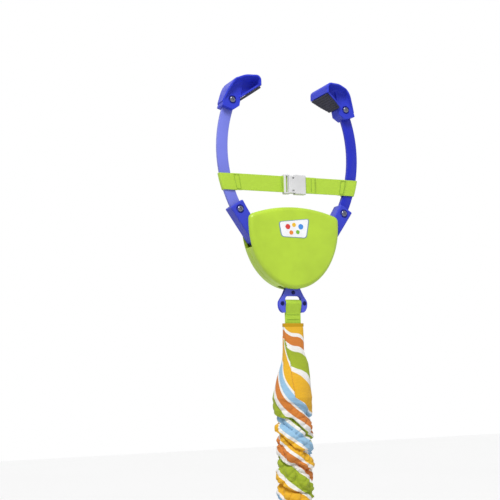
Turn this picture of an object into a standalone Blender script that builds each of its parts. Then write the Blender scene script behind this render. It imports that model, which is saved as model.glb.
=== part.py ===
"""Baby doorway jumper: a spring clamp for the top of a doorway, with a seat hung from it.

Metres, +Z up. X runs through the wall, with the front arm at -X, and Y along it.
The origin lies midway between the two grips, level with the wall-side corners of their pads.
"""

from math import asin, atan2, cos, pi, radians, sin, sqrt

import bmesh
import bpy
import numpy as np
from mathutils import Matrix, Vector

# Clearances and overruns
FIT = 0.0003
RUNNING_FIT = 0.0005
CUT_OVERRUN = 0.003

# Grips on the two faces of the header
GRIP_GAP = 0.1128
GRIP_CREST_HEIGHT = 0.0193
HOOD_FLANGE_THICKNESS = 0.003
HOOD_WALL_WIDTH = 0.060
PAD_REACH = 0.0271
PAD_DROP = 0.0181
PAD_THICKNESS = 0.003
PAD_WIDTH = 0.052

# Arms
ARM_HALF_SPAN = 0.112
ARM_RADIUS = 0.200
ARM_WIDEST_LEVEL = -0.092
ARM_WIDTH = 0.017
ARM_THICKNESS = 0.0065
GRIP_SCREW_LEVEL = -0.018
ARM_BOLT_LEVEL = -0.186

# Levers
LEVER_DEPTH = 0.024
LEVER_WIDTH = 0.024
LEVER_WALL = 0.0024
LEVER_TIP_WALL = 0.0045
HUB_RADIUS = 0.009
TOE_THICKNESS = 0.0028
TOE_HALF_HEIGHT = 0.0065
TOE_END_RADIUS = 0.007
ARM_OPENING_ANGLE = radians(12)

# Pins, bolts and screws
LEVER_PIN_RADIUS = 0.003
BOLT_RADIUS = 0.002
BOLT_HEAD_RADIUS = 0.0048
BOLT_HEAD_HEIGHT = 0.0026
YOKE_PIN_RADIUS = 0.002
HANGER_PIN_RADIUS = 0.002
HANGER_PIN_HEAD_RADIUS = 0.003
HANGER_PIN_HEAD_HEIGHT = 0.0012
SIDE_BOLT_RADIUS = 0.0015
SIDE_BOLT_HEAD_RADIUS = 0.0032
COVER_SCREW_RADIUS = 0.0016
COVER_SCREW_HEAD_RADIUS = 0.0032
CROSS_RECESS_WIDTH = 0.0011
CROSS_RECESS_DEPTH = 0.0014

# Housing
HOUSING_WIDTH = 0.1526
HOUSING_TOP = -0.180
HOUSING_SHOULDER_DROP = 0.027
HOUSING_BELLY_DEPTH = 0.0989
HOUSING_CROWN_RADIUS = 0.212
HOUSING_CORNER_RADIUS = 0.010
HOUSING_DEPTH = 0.040
HOUSING_EDGE_RADIUS = 0.0065
HOUSING_INNER_EDGE_RADIUS = 0.004
HOUSING_WALL = 0.0025
LEVER_PIVOT_X = 0.042
LEVER_PIVOT_DROP = 0.050
BOSS_RADIUS = 0.0055
SIDE_SLOT_TOP_DROP = 0.0095
SIDE_SLOT_BOTTOM_DROP = 0.063
SIDE_SLOT_INSET = 0.016
COVER_SCREW_SITES_SHARE = ((0.31, 0.145), (0.52, 0.715))

# Yoke and clamp spring
YOKE_WIDTH = 0.016
YOKE_CHEEK = 0.0028
YOKE_BRIDGE = 0.0035
TONGUE_THICKNESS = 0.003
CLAMP_SPRING_RADIUS = 0.0062
CLAMP_SPRING_WIRE = 0.0009
CLAMP_SPRING_TURNS = 6

# Hanger
HANGER_PIN_DROP = 0.0052
HANGER_WIDTH = 0.0473
HANGER_HEIGHT = 0.0375
HANGER_RISE = 0.007
HANGER_PLATE = 0.0022
HANGER_ARCH_WIDTH = 0.0272
HANGER_ARCH_HEIGHT = 0.0254
HANGER_SLOT_WIDTH = 0.046
CROSSBAR_RADIUS = 0.004
CROSSBAR_DROP = 0.0163
CROSSBAR_LENGTH = 0.042
CROSSBAR_TAB_HEIGHT = 0.0064
SIDE_BOLT_SPACING = 0.0374

# Webbing
WEBBING_WIDTH = 0.026
WEBBING_THICKNESS = 0.0016
WEBBING_EYE_LENGTH = 0.015
SAFETY_STRAP_WIDTH = 0.0254
SAFETY_STRAP_LEVEL = -0.1435
SAFETY_STRAP_THICKNESS = 0.0015
STRAP_SEWN_LENGTH = 0.012

# Buckle
BUCKLE_LENGTH = 0.0375
BUCKLE_HEIGHT = 0.031
BUCKLE_THICKNESS = 0.0095
BUCKLE_OFFSET = 0.00525
BUCKLE_SPLIT_SHARE = 0.22
BUCKLE_WALL = 0.0016
PRONG_WIDTH = 0.0048
PRONG_LENGTH = 0.0115
TONGUE_WIDTH = 0.009
BUCKLE_SLOT = 0.0032
BUCKLE_BAR = 0.003
RELEASE_WINDOW_LENGTH = 0.009
RELEASE_WINDOW_DEPTH = 0.002
CATCH_WINDOW_LENGTH = 0.0035
CATCH_WINDOW_HEIGHT = 0.0026

# Spring, rings and sleeve
UPPER_WEBBING_LENGTH = 0.078
WIRE_RING_RADIUS = 0.002
WIRE_RING_WIDTH = 0.032
WIRE_RING_HEIGHT = 0.020
SPRING_RADIUS = 0.013
SPRING_WIRE = 0.0019
SPRING_TURNS = 26
SPRING_HOOK_RADIUS = 0.0075
SLEEVE_TOP_DROP = 0.0305
SLEEVE_LENGTH = 0.460
SLEEVE_SPARE = 0.170
SLEEVE_WALL = 0.0013
LOWER_WEBBING_LENGTH = 0.110

# Strap hub, seat straps and seat
HUB_DISC_RADIUS = 0.038
HUB_THICKNESS = 0.010
HUB_ARCH_HEIGHT = 0.018
HUB_ARCH_WIDTH = 0.040
HUB_ARCH_DEPTH = 0.014
HUB_BAR_RADIUS = 0.0034
HUB_SLOT_RADIUS = 0.026
SEAT_STRAP_WIDTH = 0.025
SEAT_STRAP_THICKNESS = 0.002
SEAT_DROP = 0.400
RING_LENGTH = 0.280
RING_BREADTH = 0.250
RING_WIDTH = 0.042
RING_HEIGHT = 0.028
RING_SLOT_DEPTH = 0.010
SEAT_DEPTH = 0.225
SEAT_WALL = 0.005
SEAT_RIM_RISE = 0.004
LEG_HOLE_LENGTH = 0.125
LEG_HOLE_HEIGHT = 0.115
LEG_HOLE_SPREAD = 0.128

# Fine sizes
MERGE = 0.00001
SCREW_SINK = 0.0022
TOE_SWING_HALF_HEIGHT = 0.0082
TOE_SLOT_TRAVEL = 0.0008
HANGER_TONGUE_MARGIN = 0.002
HANGER_SLOT_RISE = 0.0085
ARCH_CORNER = 0.005
LEVER_EDGE = 0.0018
BAR_EDGE = 0.0008
BUCKLE_EDGE = 0.001
HUB_EDGE = 0.0015
HOOD_CORNER = 0.005
HOOD_FOOT_LEVEL = -0.0224
HOOD_BODY_HALF = 0.0148
HOOD_BOSS_SIZE = 0.0165
SOLE_INSET = 0.001
RELEASE_WINDOW_START = 0.0015
CATCH_WINDOW_START = 0.0055
RING_CORNER = 0.003
HOOK_NECK = 0.006
HOOK_SWEEP = radians(300)
SLEEVE_HALF_WIDTH = 0.033
SLEEVE_SHOULDER = 0.135
SLEEVE_FOOT = 0.080
SLEEVE_FOLD = 0.0042
SLEEVE_CRUMPLE_START = 0.120
FOLD_TURNS = 7
SQUARENESS = 8
SLEEVE_END_EASE = 0.0009
SLEEVE_SIDE_EASE = 0.0028
HUB_STRAP_STUB = 0.006
LEG_HOLE_TILT = radians(-25)
LEG_HOLE_RISE = 0.070
CROTCH_HALF_WIDTH = 0.014
RING_SQUARENESS = 3

# Shares of the sizes that they follow
LEVER_SHARES = (
    (1.198, 0.383), (1.110, -0.583), (0.727, -0.290), (0.0, -0.360),
    (0.0, 0.360), (0.170, 0.860), (0.253, 0.925),
)
HOOD_BACK_SHARES = (
    (1.0, 0.0, 0.380), (0.892, 0.359, 0.533), (0.778, 0.667, 0.700), (0.674, 0.858, 0.733),
    (0.595, 0.902, 0.800), (0.462, 0.969, 0.850), (0.355, 1.0, 0.900), (0.180, 1.0, 0.960),
)
HOOD_BOSS_SHARES = ((-0.703, -0.539), (-0.067, -0.945), (1.0, -0.606))
SOLE_WIDTH_SHARES = (0.60, 0.85, 1.0)
HANGER_SHARES = (
    (0.50, 1.0), (0.72, 0.713), (0.96, 0.480), (1.0, 0.310), (0.93, 0.130), (0.76, 0.012), (0.62, 0.0),
)
SCREW_HEAD_SHARES = ((0.55, 0.95), (0.9, 0.6))
CROSS_RECESS_SHARE = 0.62
COVER_BOSS_SHARE = 0.8
COVER_SCREW_HEAD_SHARE = 0.8
SLEEVE_DEPTH_SHARE = 0.90
SLEEVE_FOOT_POWER = 0.6
FOLD_SHARES = ((0.9, 1, 1), (0.7, 1.9, -2), (0.6, 0.7, 3))
SEAT_TAPER_SHARE = 0.35
SEAT_TAPER_POWER = 1.6
SEAT_ROUND_START_SHARE = 0.72
SEAT_LAST_SHARE = 0.985
LEG_FORWARD_SHARE = 0.45

# Facets
ROUND_SIDES = 18
SMALL_ROUND_SIDES = 12
BELLY_POINTS = 10
CORNER_POINTS = 5
CROWN_POINTS = 5
EDGE_POINTS = 3
LEVER_EDGE_STEPS = 2
ARM_POINTS = 14
END_POINTS = 7
TONGUE_POINTS = 9
SLOT_END_POINTS = 8
ARCH_POINTS = 5
OUTLINE_STEPS = 3
HOOD_CORNER_POINTS = 4
HOOD_STEPS = 2
LOOP_END_POINTS = 9
LOOP_LEVELS = 5
WIRE_CORNER_POINTS = 4
CURL_POINTS = 8
HOOK_POINTS = 9
RING_STATIONS = 36
RING_SECTION_POINTS = 10
SLEEVE_ROWS = 23
SLEEVE_SIDES = 20
SEAT_ROWS = 12
SEAT_SIDES = 28
LEG_HOLE_SIDES = 20
LEG_HOLE_ROWS = 12
SMOOTH_ANGLE = radians(35)

# Unit directions and sides
SIDES = (("front", -1), ("rear", 1))
SEAT_STRAPS = (
    ("seat_strap_front_left", radians(225)),
    ("seat_strap_front_right", radians(135)),
    ("seat_strap_rear_left", radians(315)),
    ("seat_strap_rear_right", radians(45)),
)

# Places that follow from the sizes
PIVOT_LEVEL = HOUSING_TOP - LEVER_PIVOT_DROP
SHOULDER_LEVEL = HOUSING_TOP - HOUSING_SHOULDER_DROP
HOUSING_BOTTOM = SHOULDER_LEVEL - HOUSING_BELLY_DEPTH
YOKE_TRAVEL = 2 * LEVER_PIVOT_X * np.tan(ARM_OPENING_ANGLE / 2)
YOKE_PIN_LEVEL = PIVOT_LEVEL - YOKE_TRAVEL / 2
HANGER_PIN_LEVEL = HOUSING_BOTTOM - HANGER_PIN_DROP
CROSSBAR_LEVEL = HANGER_PIN_LEVEL - CROSSBAR_DROP
HANGER_TOP = HANGER_PIN_LEVEL + HANGER_RISE
PLATE_INNER_Y = TONGUE_THICKNESS / 2 + FIT
STRAP_LOOP_RADIUS = CROSSBAR_RADIUS + FIT
SPRING_LENGTH = SLEEVE_LENGTH - SLEEVE_SPARE
STRAP_Y = -(ARM_THICKNESS / 2 + FIT + SAFETY_STRAP_THICKNESS + FIT + SAFETY_STRAP_THICKNESS / 2)
SIDE_SLOT_HALF = LEVER_DEPTH / 2 + RUNNING_FIT
HANGER_SLOT_HALF = PLATE_INNER_Y + HANGER_PLATE + HANGER_PIN_HEAD_HEIGHT + 2 * RUNNING_FIT
TOE_SLOT_REACH = TOE_THICKNESS + CUT_OVERRUN
YOKE_GAP = 2 * (TOE_THICKNESS + 2 * FIT)
HUB_SLOT_LENGTH = SEAT_STRAP_THICKNESS + 2 * FIT


def empty_scene():
    for old in list(bpy.data.objects):
        bpy.data.objects.remove(old, do_unlink=True)


def new_collection(name):
    made = bpy.data.collections.new(name)
    bpy.context.scene.collection.children.link(made)
    return made


def new_material(name, colour, roughness, metallic=0.0):
    made = bpy.data.materials.new(name)
    made.use_nodes = True
    shader = made.node_tree.nodes["Principled BSDF"]
    shader.inputs["Base Color"].default_value = (*colour, 1)
    shader.inputs["Roughness"].default_value = roughness
    shader.inputs["Metallic"].default_value = metallic
    made.diffuse_color = (*colour, 1)
    return made


def add_object(name, mesh, material, smooth=True):
    made = bpy.data.objects.new(name, mesh)
    PARTS.objects.link(made)
    if material:
        mesh.materials.append(material)
    if smooth:
        mesh.shade_smooth()
        mesh.set_sharp_from_angle(angle=SMOOTH_ANGLE)
    return made


def mesh_from(bm, name):
    bmesh.ops.recalc_face_normals(bm, faces=bm.faces)
    mesh = bpy.data.meshes.new(name)
    bm.to_mesh(mesh)
    bm.free()
    return mesh


def prism(name, outline, y_from, y_to):
    """A mesh with this outline in XZ between two Y planes."""
    bm = bmesh.new()
    corners = [bm.verts.new((x, y_from, z)) for x, z in outline]
    face = bm.faces.new(corners)
    grown = bmesh.ops.extrude_face_region(bm, geom=[face])
    moved = [item for item in grown["geom"] if isinstance(item, bmesh.types.BMVert)]
    bmesh.ops.translate(bm, verts=moved, vec=(0, y_to - y_from, 0))
    return mesh_from(bm, name)


def box(name, lowest, highest):
    bm = bmesh.new()
    bmesh.ops.create_cube(bm, size=1)
    low = Vector(lowest)
    high = Vector(highest)
    for vert in bm.verts:
        vert.co = Vector((low[i] + (vert.co[i] + 0.5) * (high[i] - low[i]) for i in range(3)))
    return mesh_from(bm, name)


def rod(name, start, end, radius, sides=ROUND_SIDES):
    """A round bar between two points."""
    bm = bmesh.new()
    way = Vector(end) - Vector(start)
    turned = way.to_track_quat("Z", "Y").to_matrix().to_4x4()
    middle = Matrix.Translation((Vector(start) + Vector(end)) / 2)
    bmesh.ops.create_cone(
        bm, cap_ends=True, segments=sides, radius1=radius, radius2=radius,
        depth=way.length, matrix=middle @ turned,
    )
    return mesh_from(bm, name)


def loft(name, rings, closed=False):
    """Faces between rings of as many points, with caps unless the rings close on themselves."""
    bm = bmesh.new()
    rows = [[bm.verts.new(point) for point in ring] for ring in rings]
    pairs = list(zip(rows, rows[1:]))
    if closed:
        pairs.append((rows[-1], rows[0]))
    for low, high in pairs:
        for i in range(len(low)):
            j = (i + 1) % len(low)
            bm.faces.new((low[i], low[j], high[j], high[i]))
    if not closed:
        bm.faces.new(rows[0])
        bm.faces.new(rows[-1])
    return mesh_from(bm, name)


def as_cutter(obj):
    """Keeps an object out of the part, as the tool of a Boolean."""
    PARTS.objects.unlink(obj)
    CUTTERS.objects.link(obj)
    obj.hide_render = True
    obj.display_type = "WIRE"
    return obj


def combine(target, operation, meshes):
    for mesh in meshes:
        tool = as_cutter(add_object(mesh.name, mesh, None, smooth=False))
        tool.parent = target.parent
        step = target.modifiers.new(mesh.name, "BOOLEAN")
        step.operation = operation
        step.object = tool


def cut(target, *meshes):
    combine(target, "DIFFERENCE", meshes)


def join(target, *meshes):
    combine(target, "UNION", meshes)


def soften(target, width, segments=1):
    bevel = target.modifiers.new("edges", "BEVEL")
    bevel.width = width
    bevel.segments = segments
    bevel.limit_method = "ANGLE"
    bevel.angle_limit = SMOOTH_ANGLE


def turned(name, profile, place, direction, material, sides=SMALL_ROUND_SIDES):
    """A solid of revolution. Its profile of (radius, height) runs from top to bottom."""
    mesh = bpy.data.meshes.new(name)
    points = [(radius, 0, height) for radius, height in profile]
    mesh.from_pydata(points, [(i, i + 1) for i in range(len(points) - 1)], [])
    made = add_object(name, mesh, material, smooth=False)
    made.rotation_mode = "QUATERNION"
    made.rotation_quaternion = Vector(direction).to_track_quat("Z", "Y")
    made.location = place
    spin = made.modifiers.new("turn", "SCREW")
    spin.steps = sides
    spin.render_steps = sides
    spin.use_merge_vertices = True
    spin.merge_threshold = MERGE
    spin.use_smooth_shade = True
    return made


def screw_solid(name, place, direction, head, shank, material, recess=True):
    """A pan-head screw, of (radius, height) each: its head's seat lies at place, its shank behind."""
    head_radius, head_height = head
    radius, length = shank
    profile = (
        (0, head_height),
        *shares_of(SCREW_HEAD_SHARES, head_radius, head_height),
        (head_radius, 0),
        (radius, 0),
        (radius, -length),
        (0, -length),
    )
    made = turned(name, profile, place, direction, material)
    if recess:
        arm = CROSS_RECESS_SHARE * head_radius
        half = CROSS_RECESS_WIDTH / 2
        floor = head_height - CROSS_RECESS_DEPTH
        top = head_height + CUT_OVERRUN
        for turn, size in (("a", (arm, half)), ("b", (half, arm))):
            tool = box(f"{name}_cross_{turn}", (-size[0], -size[1], floor), (size[0], size[1], top))
            tool.transform(made.rotation_quaternion.to_matrix().to_4x4())
            tool.transform(Matrix.Translation(place))
            cut(made, tool)
    return made


def wire(name, points, radius, material, cyclic=False, resolution=1):
    """A round wire through these points, as one closed tube."""
    curve = bpy.data.curves.new(name, "CURVE")
    curve.dimensions = "3D"
    curve.bevel_depth = radius
    curve.bevel_resolution = resolution
    curve.use_fill_caps = True
    spline = curve.splines.new("POLY")
    spline.points.add(len(points) - 1)
    for slot, point in zip(spline.points, points):
        slot.co = (*point, 1)
    spline.use_cyclic_u = cyclic
    curve.materials.append(material)
    made = bpy.data.objects.new(name, curve)
    PARTS.objects.link(made)
    return made


def arc_points(centre, radius, start, end, count):
    """Points on an arc in a plane, with both ends."""
    steps = [start + (end - start) * i / (count - 1) for i in range(count)]
    return [(centre[0] + radius * cos(a), centre[1] + radius * sin(a)) for a in steps]


def between(p, q, r, s, t):
    """The Catmull-Rom value at t between q and r."""
    square = (2 * p - 5 * q + 4 * r - s) * t**2
    cube = (3 * q - p - 3 * r + s) * t**3
    return (2 * q + (r - p) * t + square + cube) / 2


def smooth_line(points, steps):
    """A Catmull-Rom line through these points."""
    ends = [points[0], *points, points[-1]]
    line = []
    for near in zip(ends, ends[1:], ends[2:], ends[3:]):
        for i in range(steps):
            line.append(tuple(between(*values, i / steps) for values in zip(*near)))
    line.append(tuple(points[-1]))
    return line


def shares_of(shares, width, height, x=0, z=0):
    return [(x + width * a, z + height * b) for a, b in shares]


def mirrored(outline, side):
    return [(side * x, z) for x, z in outline]


def arm_x(level):
    """Half the distance between the arms' centrelines at a level."""
    return ARM_HALF_SPAN - ARM_RADIUS + sqrt(ARM_RADIUS**2 - (level - ARM_WIDEST_LEVEL) ** 2)


def arm_angle(level):
    return atan2(level - ARM_WIDEST_LEVEL, arm_x(level) - ARM_HALF_SPAN + ARM_RADIUS)


# Housing


def housing_outline(inset):
    """The covers' outline, drawn in by an inset: an ellipse below and a shallow arc on top."""
    half = HOUSING_WIDTH / 2
    radius = HOUSING_CORNER_RADIUS
    crown_centre = HOUSING_TOP - HOUSING_CROWN_RADIUS
    corner_x = half - radius
    reach = HOUSING_CROWN_RADIUS - radius
    corner_level = crown_centre + sqrt(reach**2 - corner_x**2)
    lean = atan2(corner_level - crown_centre, corner_x)
    points = []
    for i in range(BELLY_POINTS + 1):
        angle = -pi / 2 + (pi / 2) * i / BELLY_POINTS
        normal = Vector((cos(angle) / half, sin(angle) / HOUSING_BELLY_DEPTH)).normalized()
        x = half * cos(angle) - inset * normal.x
        points.append((x, SHOULDER_LEVEL + HOUSING_BELLY_DEPTH * sin(angle) - inset * normal.y))
    points += arc_points((corner_x, corner_level), radius - inset, 0, lean, CORNER_POINTS)
    crown = HOUSING_CROWN_RADIUS - inset
    points += arc_points((0, crown_centre), crown, lean, pi / 2, CROWN_POINTS)[1:]
    return points[1:-1], points[0], points[-1]


def full_outline(inset):
    side, bottom, top = housing_outline(inset)
    return [(0, bottom[1]), *side, (0, top[1]), *[(-x, z) for x, z in reversed(side)]]


def cover_rings(side):
    """Rings from the inner floor of a cover, over its rim, to its outer face."""
    depth = HOUSING_DEPTH / 2
    rings = []
    inner = HOUSING_INNER_EDGE_RADIUS
    for i in range(EDGE_POINTS + 1):
        angle = (pi / 2) * i / EDGE_POINTS
        inset = HOUSING_WALL + inner * (1 - sin(angle))
        rings.append((inset, depth - HOUSING_WALL - inner * (1 - cos(angle))))
    rings.append((HOUSING_WALL, FIT / 2))
    rings.append((0, FIT / 2))
    outer = HOUSING_EDGE_RADIUS
    for i in range(EDGE_POINTS + 1):
        angle = (pi / 2) * i / EDGE_POINTS
        rings.append((outer * (1 - cos(angle)), depth - outer * (1 - sin(angle))))
    return [[(x, side * y, z) for x, z in full_outline(inset)] for inset, y in rings]


def cover_screw_sites():
    height = HOUSING_TOP - HOUSING_BOTTOM
    for label, (across, down) in zip(("upper", "lower"), COVER_SCREW_SITES_SHARE):
        for word, side in SIDES:
            yield f"{label}_{word}", side * across * HOUSING_WIDTH / 2, HOUSING_TOP - down * height


def boss(name, x, z, radius, y_from, side):
    """A post on the inside of a cover, sunk into its wall."""
    y_to = HOUSING_DEPTH / 2 - HOUSING_WALL / 2
    return rod(name, (x, side * y_from, z), (x, side * y_to, z), radius, SMALL_ROUND_SIDES)


def hole(name, x, z, radius, y_from, y_to):
    return rod(name, (x, y_from, z), (x, y_to, z), radius, SMALL_ROUND_SIDES)


def make_cover(word, side):
    cover = add_object(f"{word}_cover", loft(f"{word}_cover", cover_rings(side)), LIME)
    pivot_boss = LEVER_DEPTH / 2 + RUNNING_FIT
    boss_hole = HOUSING_DEPTH / 2 - HOUSING_WALL
    for place, way in SIDES:
        x = way * LEVER_PIVOT_X
        join(cover, boss(f"{word}_{place}_pivot_boss", x, PIVOT_LEVEL, BOSS_RADIUS, pivot_boss, side))
        radius = LEVER_PIN_RADIUS + FIT
        bore = hole(f"{word}_{place}_pivot_bore", x, PIVOT_LEVEL, radius, 0, side * boss_hole)
        cut(cover, bore)
    for place, x, z in cover_screw_sites():
        thickness = COVER_BOSS_SHARE * BOSS_RADIUS
        join(cover, boss(f"{word}_{place}_boss", x, z, thickness, FIT / 2, side))
        reach = -boss_hole if side < 0 else HOUSING_DEPTH
        radius = COVER_SCREW_RADIUS + FIT
        cut(cover, hole(f"{word}_{place}_bore", x, z, radius, 0, reach))
        if side > 0:
            sink = COVER_SCREW_HEAD_RADIUS + FIT
            seat = HOUSING_DEPTH / 2 - SCREW_SINK
            cut(cover, hole(f"{word}_{place}_seat", x, z, sink, seat, HOUSING_DEPTH))
    for place, way in SIDES:
        inner = way * (HOUSING_WIDTH / 2 - SIDE_SLOT_INSET)
        outer = way * (HOUSING_WIDTH / 2 + CUT_OVERRUN)
        lowest = (min(inner, outer), -SIDE_SLOT_HALF, HOUSING_TOP - SIDE_SLOT_BOTTOM_DROP)
        highest = (max(inner, outer), SIDE_SLOT_HALF, HOUSING_TOP - SIDE_SLOT_TOP_DROP)
        cut(cover, box(f"{word}_{place}_lever_slot", lowest, highest))
    lowest = (-HANGER_SLOT_WIDTH / 2, -HANGER_SLOT_HALF, HOUSING_BOTTOM - CUT_OVERRUN)
    highest = (HANGER_SLOT_WIDTH / 2, HANGER_SLOT_HALF, HOUSING_BOTTOM + HANGER_SLOT_RISE)
    cut(cover, box(f"{word}_hanger_slot", lowest, highest))


def make_housing():
    for word, side in SIDES:
        make_cover(word, side)
        x = side * LEVER_PIVOT_X
        end = HOUSING_DEPTH / 2 - HOUSING_WALL - FIT
        name = f"{word}_lever_pin"
        pin = rod(name, (x, -end, PIVOT_LEVEL), (x, end, PIVOT_LEVEL), LEVER_PIN_RADIUS)
        add_object(name, pin, STEEL)
    seat = HOUSING_DEPTH / 2 - SCREW_SINK + FIT
    length = seat + HOUSING_DEPTH / 2 - HOUSING_WALL - FIT
    head = (COVER_SCREW_HEAD_RADIUS, COVER_SCREW_HEAD_SHARE * SCREW_SINK)
    shank = (COVER_SCREW_RADIUS, length)
    for place, x, z in cover_screw_sites():
        screw_solid(f"cover_screw_{place}", (x, seat, z), (0, 1, 0), head, shank, STEEL, False)


# Yoke and clamp spring


def make_yoke():
    """The block that both toes carry, with a tongue that reaches down to the hanger."""
    half = YOKE_WIDTH / 2
    rise = TOE_SWING_HALF_HEIGHT + YOKE_BRIDGE
    depth = YOKE_GAP / 2 + YOKE_CHEEK
    block = box(
        "yoke", (-half, -depth, YOKE_PIN_LEVEL - rise), (half, depth, YOKE_PIN_LEVEL + rise)
    )
    yoke = add_object("yoke", block, STEEL, smooth=False)
    y = TONGUE_THICKNESS / 2
    end = HANGER_PIN_LEVEL
    radius = HANGER_RISE - HANGER_TONGUE_MARGIN
    tongue = [(-radius, YOKE_PIN_LEVEL - rise + YOKE_BRIDGE / 2)]
    tongue += arc_points((0, end), radius, pi, 2 * pi, TONGUE_POINTS)
    tongue += [(radius, YOKE_PIN_LEVEL - rise + YOKE_BRIDGE / 2)]
    join(yoke, prism("yoke_tongue", tongue, -y, y))
    gap = YOKE_GAP / 2
    low = YOKE_PIN_LEVEL - TOE_SWING_HALF_HEIGHT
    high = YOKE_PIN_LEVEL + TOE_SWING_HALF_HEIGHT
    cut(yoke, box("yoke_toe_gap", (-2 * half, -gap, low), (2 * half, gap, high)))
    far = 2 * depth
    cut(yoke, hole("yoke_pin_bore", 0, YOKE_PIN_LEVEL, YOKE_PIN_RADIUS + FIT, -far, far))
    cut(yoke, hole("hanger_pin_bore", 0, end, HANGER_PIN_RADIUS + FIT, -far, far))
    pin = rod("yoke_pin", (0, -depth, YOKE_PIN_LEVEL), (0, depth, YOKE_PIN_LEVEL), YOKE_PIN_RADIUS)
    add_object("yoke_pin", pin, STEEL)
    return YOKE_PIN_LEVEL + rise


def make_clamp_spring(low):
    """A compression spring between the yoke and the top of the housing."""
    high = HOUSING_TOP - HOUSING_WALL - CLAMP_SPRING_WIRE - 2 * FIT
    low = low + CLAMP_SPRING_WIRE + FIT
    count = CLAMP_SPRING_TURNS * CURL_POINTS
    points = []
    for i in range(count + 1):
        angle = 2 * pi * i / CURL_POINTS
        level = low + (high - low) * i / count
        points.append((CLAMP_SPRING_RADIUS * cos(angle), CLAMP_SPRING_RADIUS * sin(angle), level))
    wire("clamp_spring", points, CLAMP_SPRING_WIRE, STEEL)
    print(f"clamp spring: least gap {least_gap(points, CLAMP_SPRING_WIRE) * 1000:.2f} mm")


def least_gap(points, radius):
    """The least gap of a coiled tube to itself, measured between points over half a turn apart."""
    places = np.array(points)
    least = np.inf
    for i in range(len(places) - CURL_POINTS // 2 - 1):
        others = places[i + CURL_POINTS // 2 + 1:]
        least = min(least, np.linalg.norm(others - places[i], axis=1).min())
    return least - 2 * radius


# Arms


def lever_frame():
    """The lever's own frame: along goes from its pivot to the bolt, out goes away from the door."""
    bolt = Vector((arm_x(ARM_BOLT_LEVEL), ARM_BOLT_LEVEL))
    pivot = Vector((LEVER_PIVOT_X, PIVOT_LEVEL))
    along = (bolt - pivot).normalized()
    out = Vector((along.y, -along.x))
    return pivot, along, out, (bolt - pivot).length


def placed_in_lever(points, side):
    """Points of the lever's own frame, put where they lie in XZ."""
    pivot, along, out, _ = lever_frame()
    places = [pivot + along * point.x + out * point.y for point in points]
    return [(side * place.x, place.y) for place in places]


def lever_pocket(corners):
    """The pocket that takes the arm: it runs inside the lever's walls and opens at its upper end."""
    back_top, front_top, knee = corners[:3]
    tip = corners[-1]
    run = (back_top - tip).normalized()
    inward = Vector((run.y, -run.x))
    front_run = (front_top - knee).normalized()
    front_inward = Vector((-front_run.y, front_run.x))
    start = tip + run * LEVER_TIP_WALL + inward * LEVER_WALL
    end = back_top + run * LEVER_WIDTH + inward * LEVER_WALL
    front_end = front_top + front_run * LEVER_WIDTH + front_inward * LEVER_WALL
    front_knee = knee + front_inward * LEVER_WALL
    floor = start + inward * ((start.y - front_knee.y) / -inward.y)
    return [start, end, front_end, front_knee, floor]


def make_lever(word, side):
    """A moulded lever: a deep pocket for the arm, a hub, and a toe that reaches the yoke."""
    reach = lever_frame()[3]
    y = LEVER_DEPTH / 2
    name = f"{word}_lever"
    corners = [Vector(place) for place in shares_of(LEVER_SHARES, reach, LEVER_WIDTH)]
    lever = add_object(name, prism(name, placed_in_lever(corners, side), -y, y), BLUE)
    soften(lever, LEVER_EDGE, LEVER_EDGE_STEPS)
    pocket = placed_in_lever(lever_pocket(corners), side)
    inner = y - LEVER_WALL
    cut(lever, prism(f"{word}_pocket", pocket, -inner, inner))
    x = side * LEVER_PIVOT_X
    hub_end = y - LEVER_WALL / 2
    join(lever, hole(f"{word}_hub", x, PIVOT_LEVEL, HUB_RADIUS, -hub_end, hub_end))
    bolt_x = side * arm_x(ARM_BOLT_LEVEL)
    post = ARM_THICKNESS / 2 + FIT
    cut(lever, prism(f"{word}_arm_socket", mirrored(arm_outline(2 * FIT), side), -post, post))
    for label, way in (("near", -1), ("far", 1)):
        name = f"{word}_{label}_post"
        shape = hole(name, bolt_x, ARM_BOLT_LEVEL, BOSS_RADIUS, way * post, way * (y - LEVER_WALL / 2))
        join(lever, shape)
    near, far = sorted((side * FIT, side * (FIT + TOE_THICKNESS)))
    toe_y = (near, far)
    slope = atan2(YOKE_PIN_LEVEL - PIVOT_LEVEL, -LEVER_PIVOT_X)
    end = arc_points((0, YOKE_PIN_LEVEL), TOE_END_RADIUS, slope + pi / 2, slope - pi / 2, END_POINTS)
    low_root = (LEVER_PIVOT_X, PIVOT_LEVEL - TOE_HALF_HEIGHT)
    high_root = (LEVER_PIVOT_X, PIVOT_LEVEL + TOE_HALF_HEIGHT)
    toe = [low_root, *end, high_root]
    join(lever, prism(f"{word}_toe", mirrored(toe, side), *toe_y))
    slot_half = YOKE_PIN_RADIUS + RUNNING_FIT
    travel = TOE_SLOT_TRAVEL
    direction = Vector((cos(slope), sin(slope)))
    slot = []
    for centre, start in ((travel, slope - pi / 2), (-travel, slope + pi / 2)):
        middle = Vector((0, YOKE_PIN_LEVEL)) + direction * centre
        slot += arc_points(middle, slot_half, start, start + pi, SLOT_END_POINTS)
    cut(lever, prism(f"{word}_toe_slot", mirrored(slot, side), -TOE_SLOT_REACH, TOE_SLOT_REACH))
    cut(lever, hole(f"{word}_hub_bore", x, PIVOT_LEVEL, LEVER_PIN_RADIUS + FIT, -2 * y, 2 * y))
    bore = hole(f"{word}_bolt_bore", bolt_x, ARM_BOLT_LEVEL, BOLT_RADIUS + FIT, -2 * y, 2 * y)
    cut(lever, bore)


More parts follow.
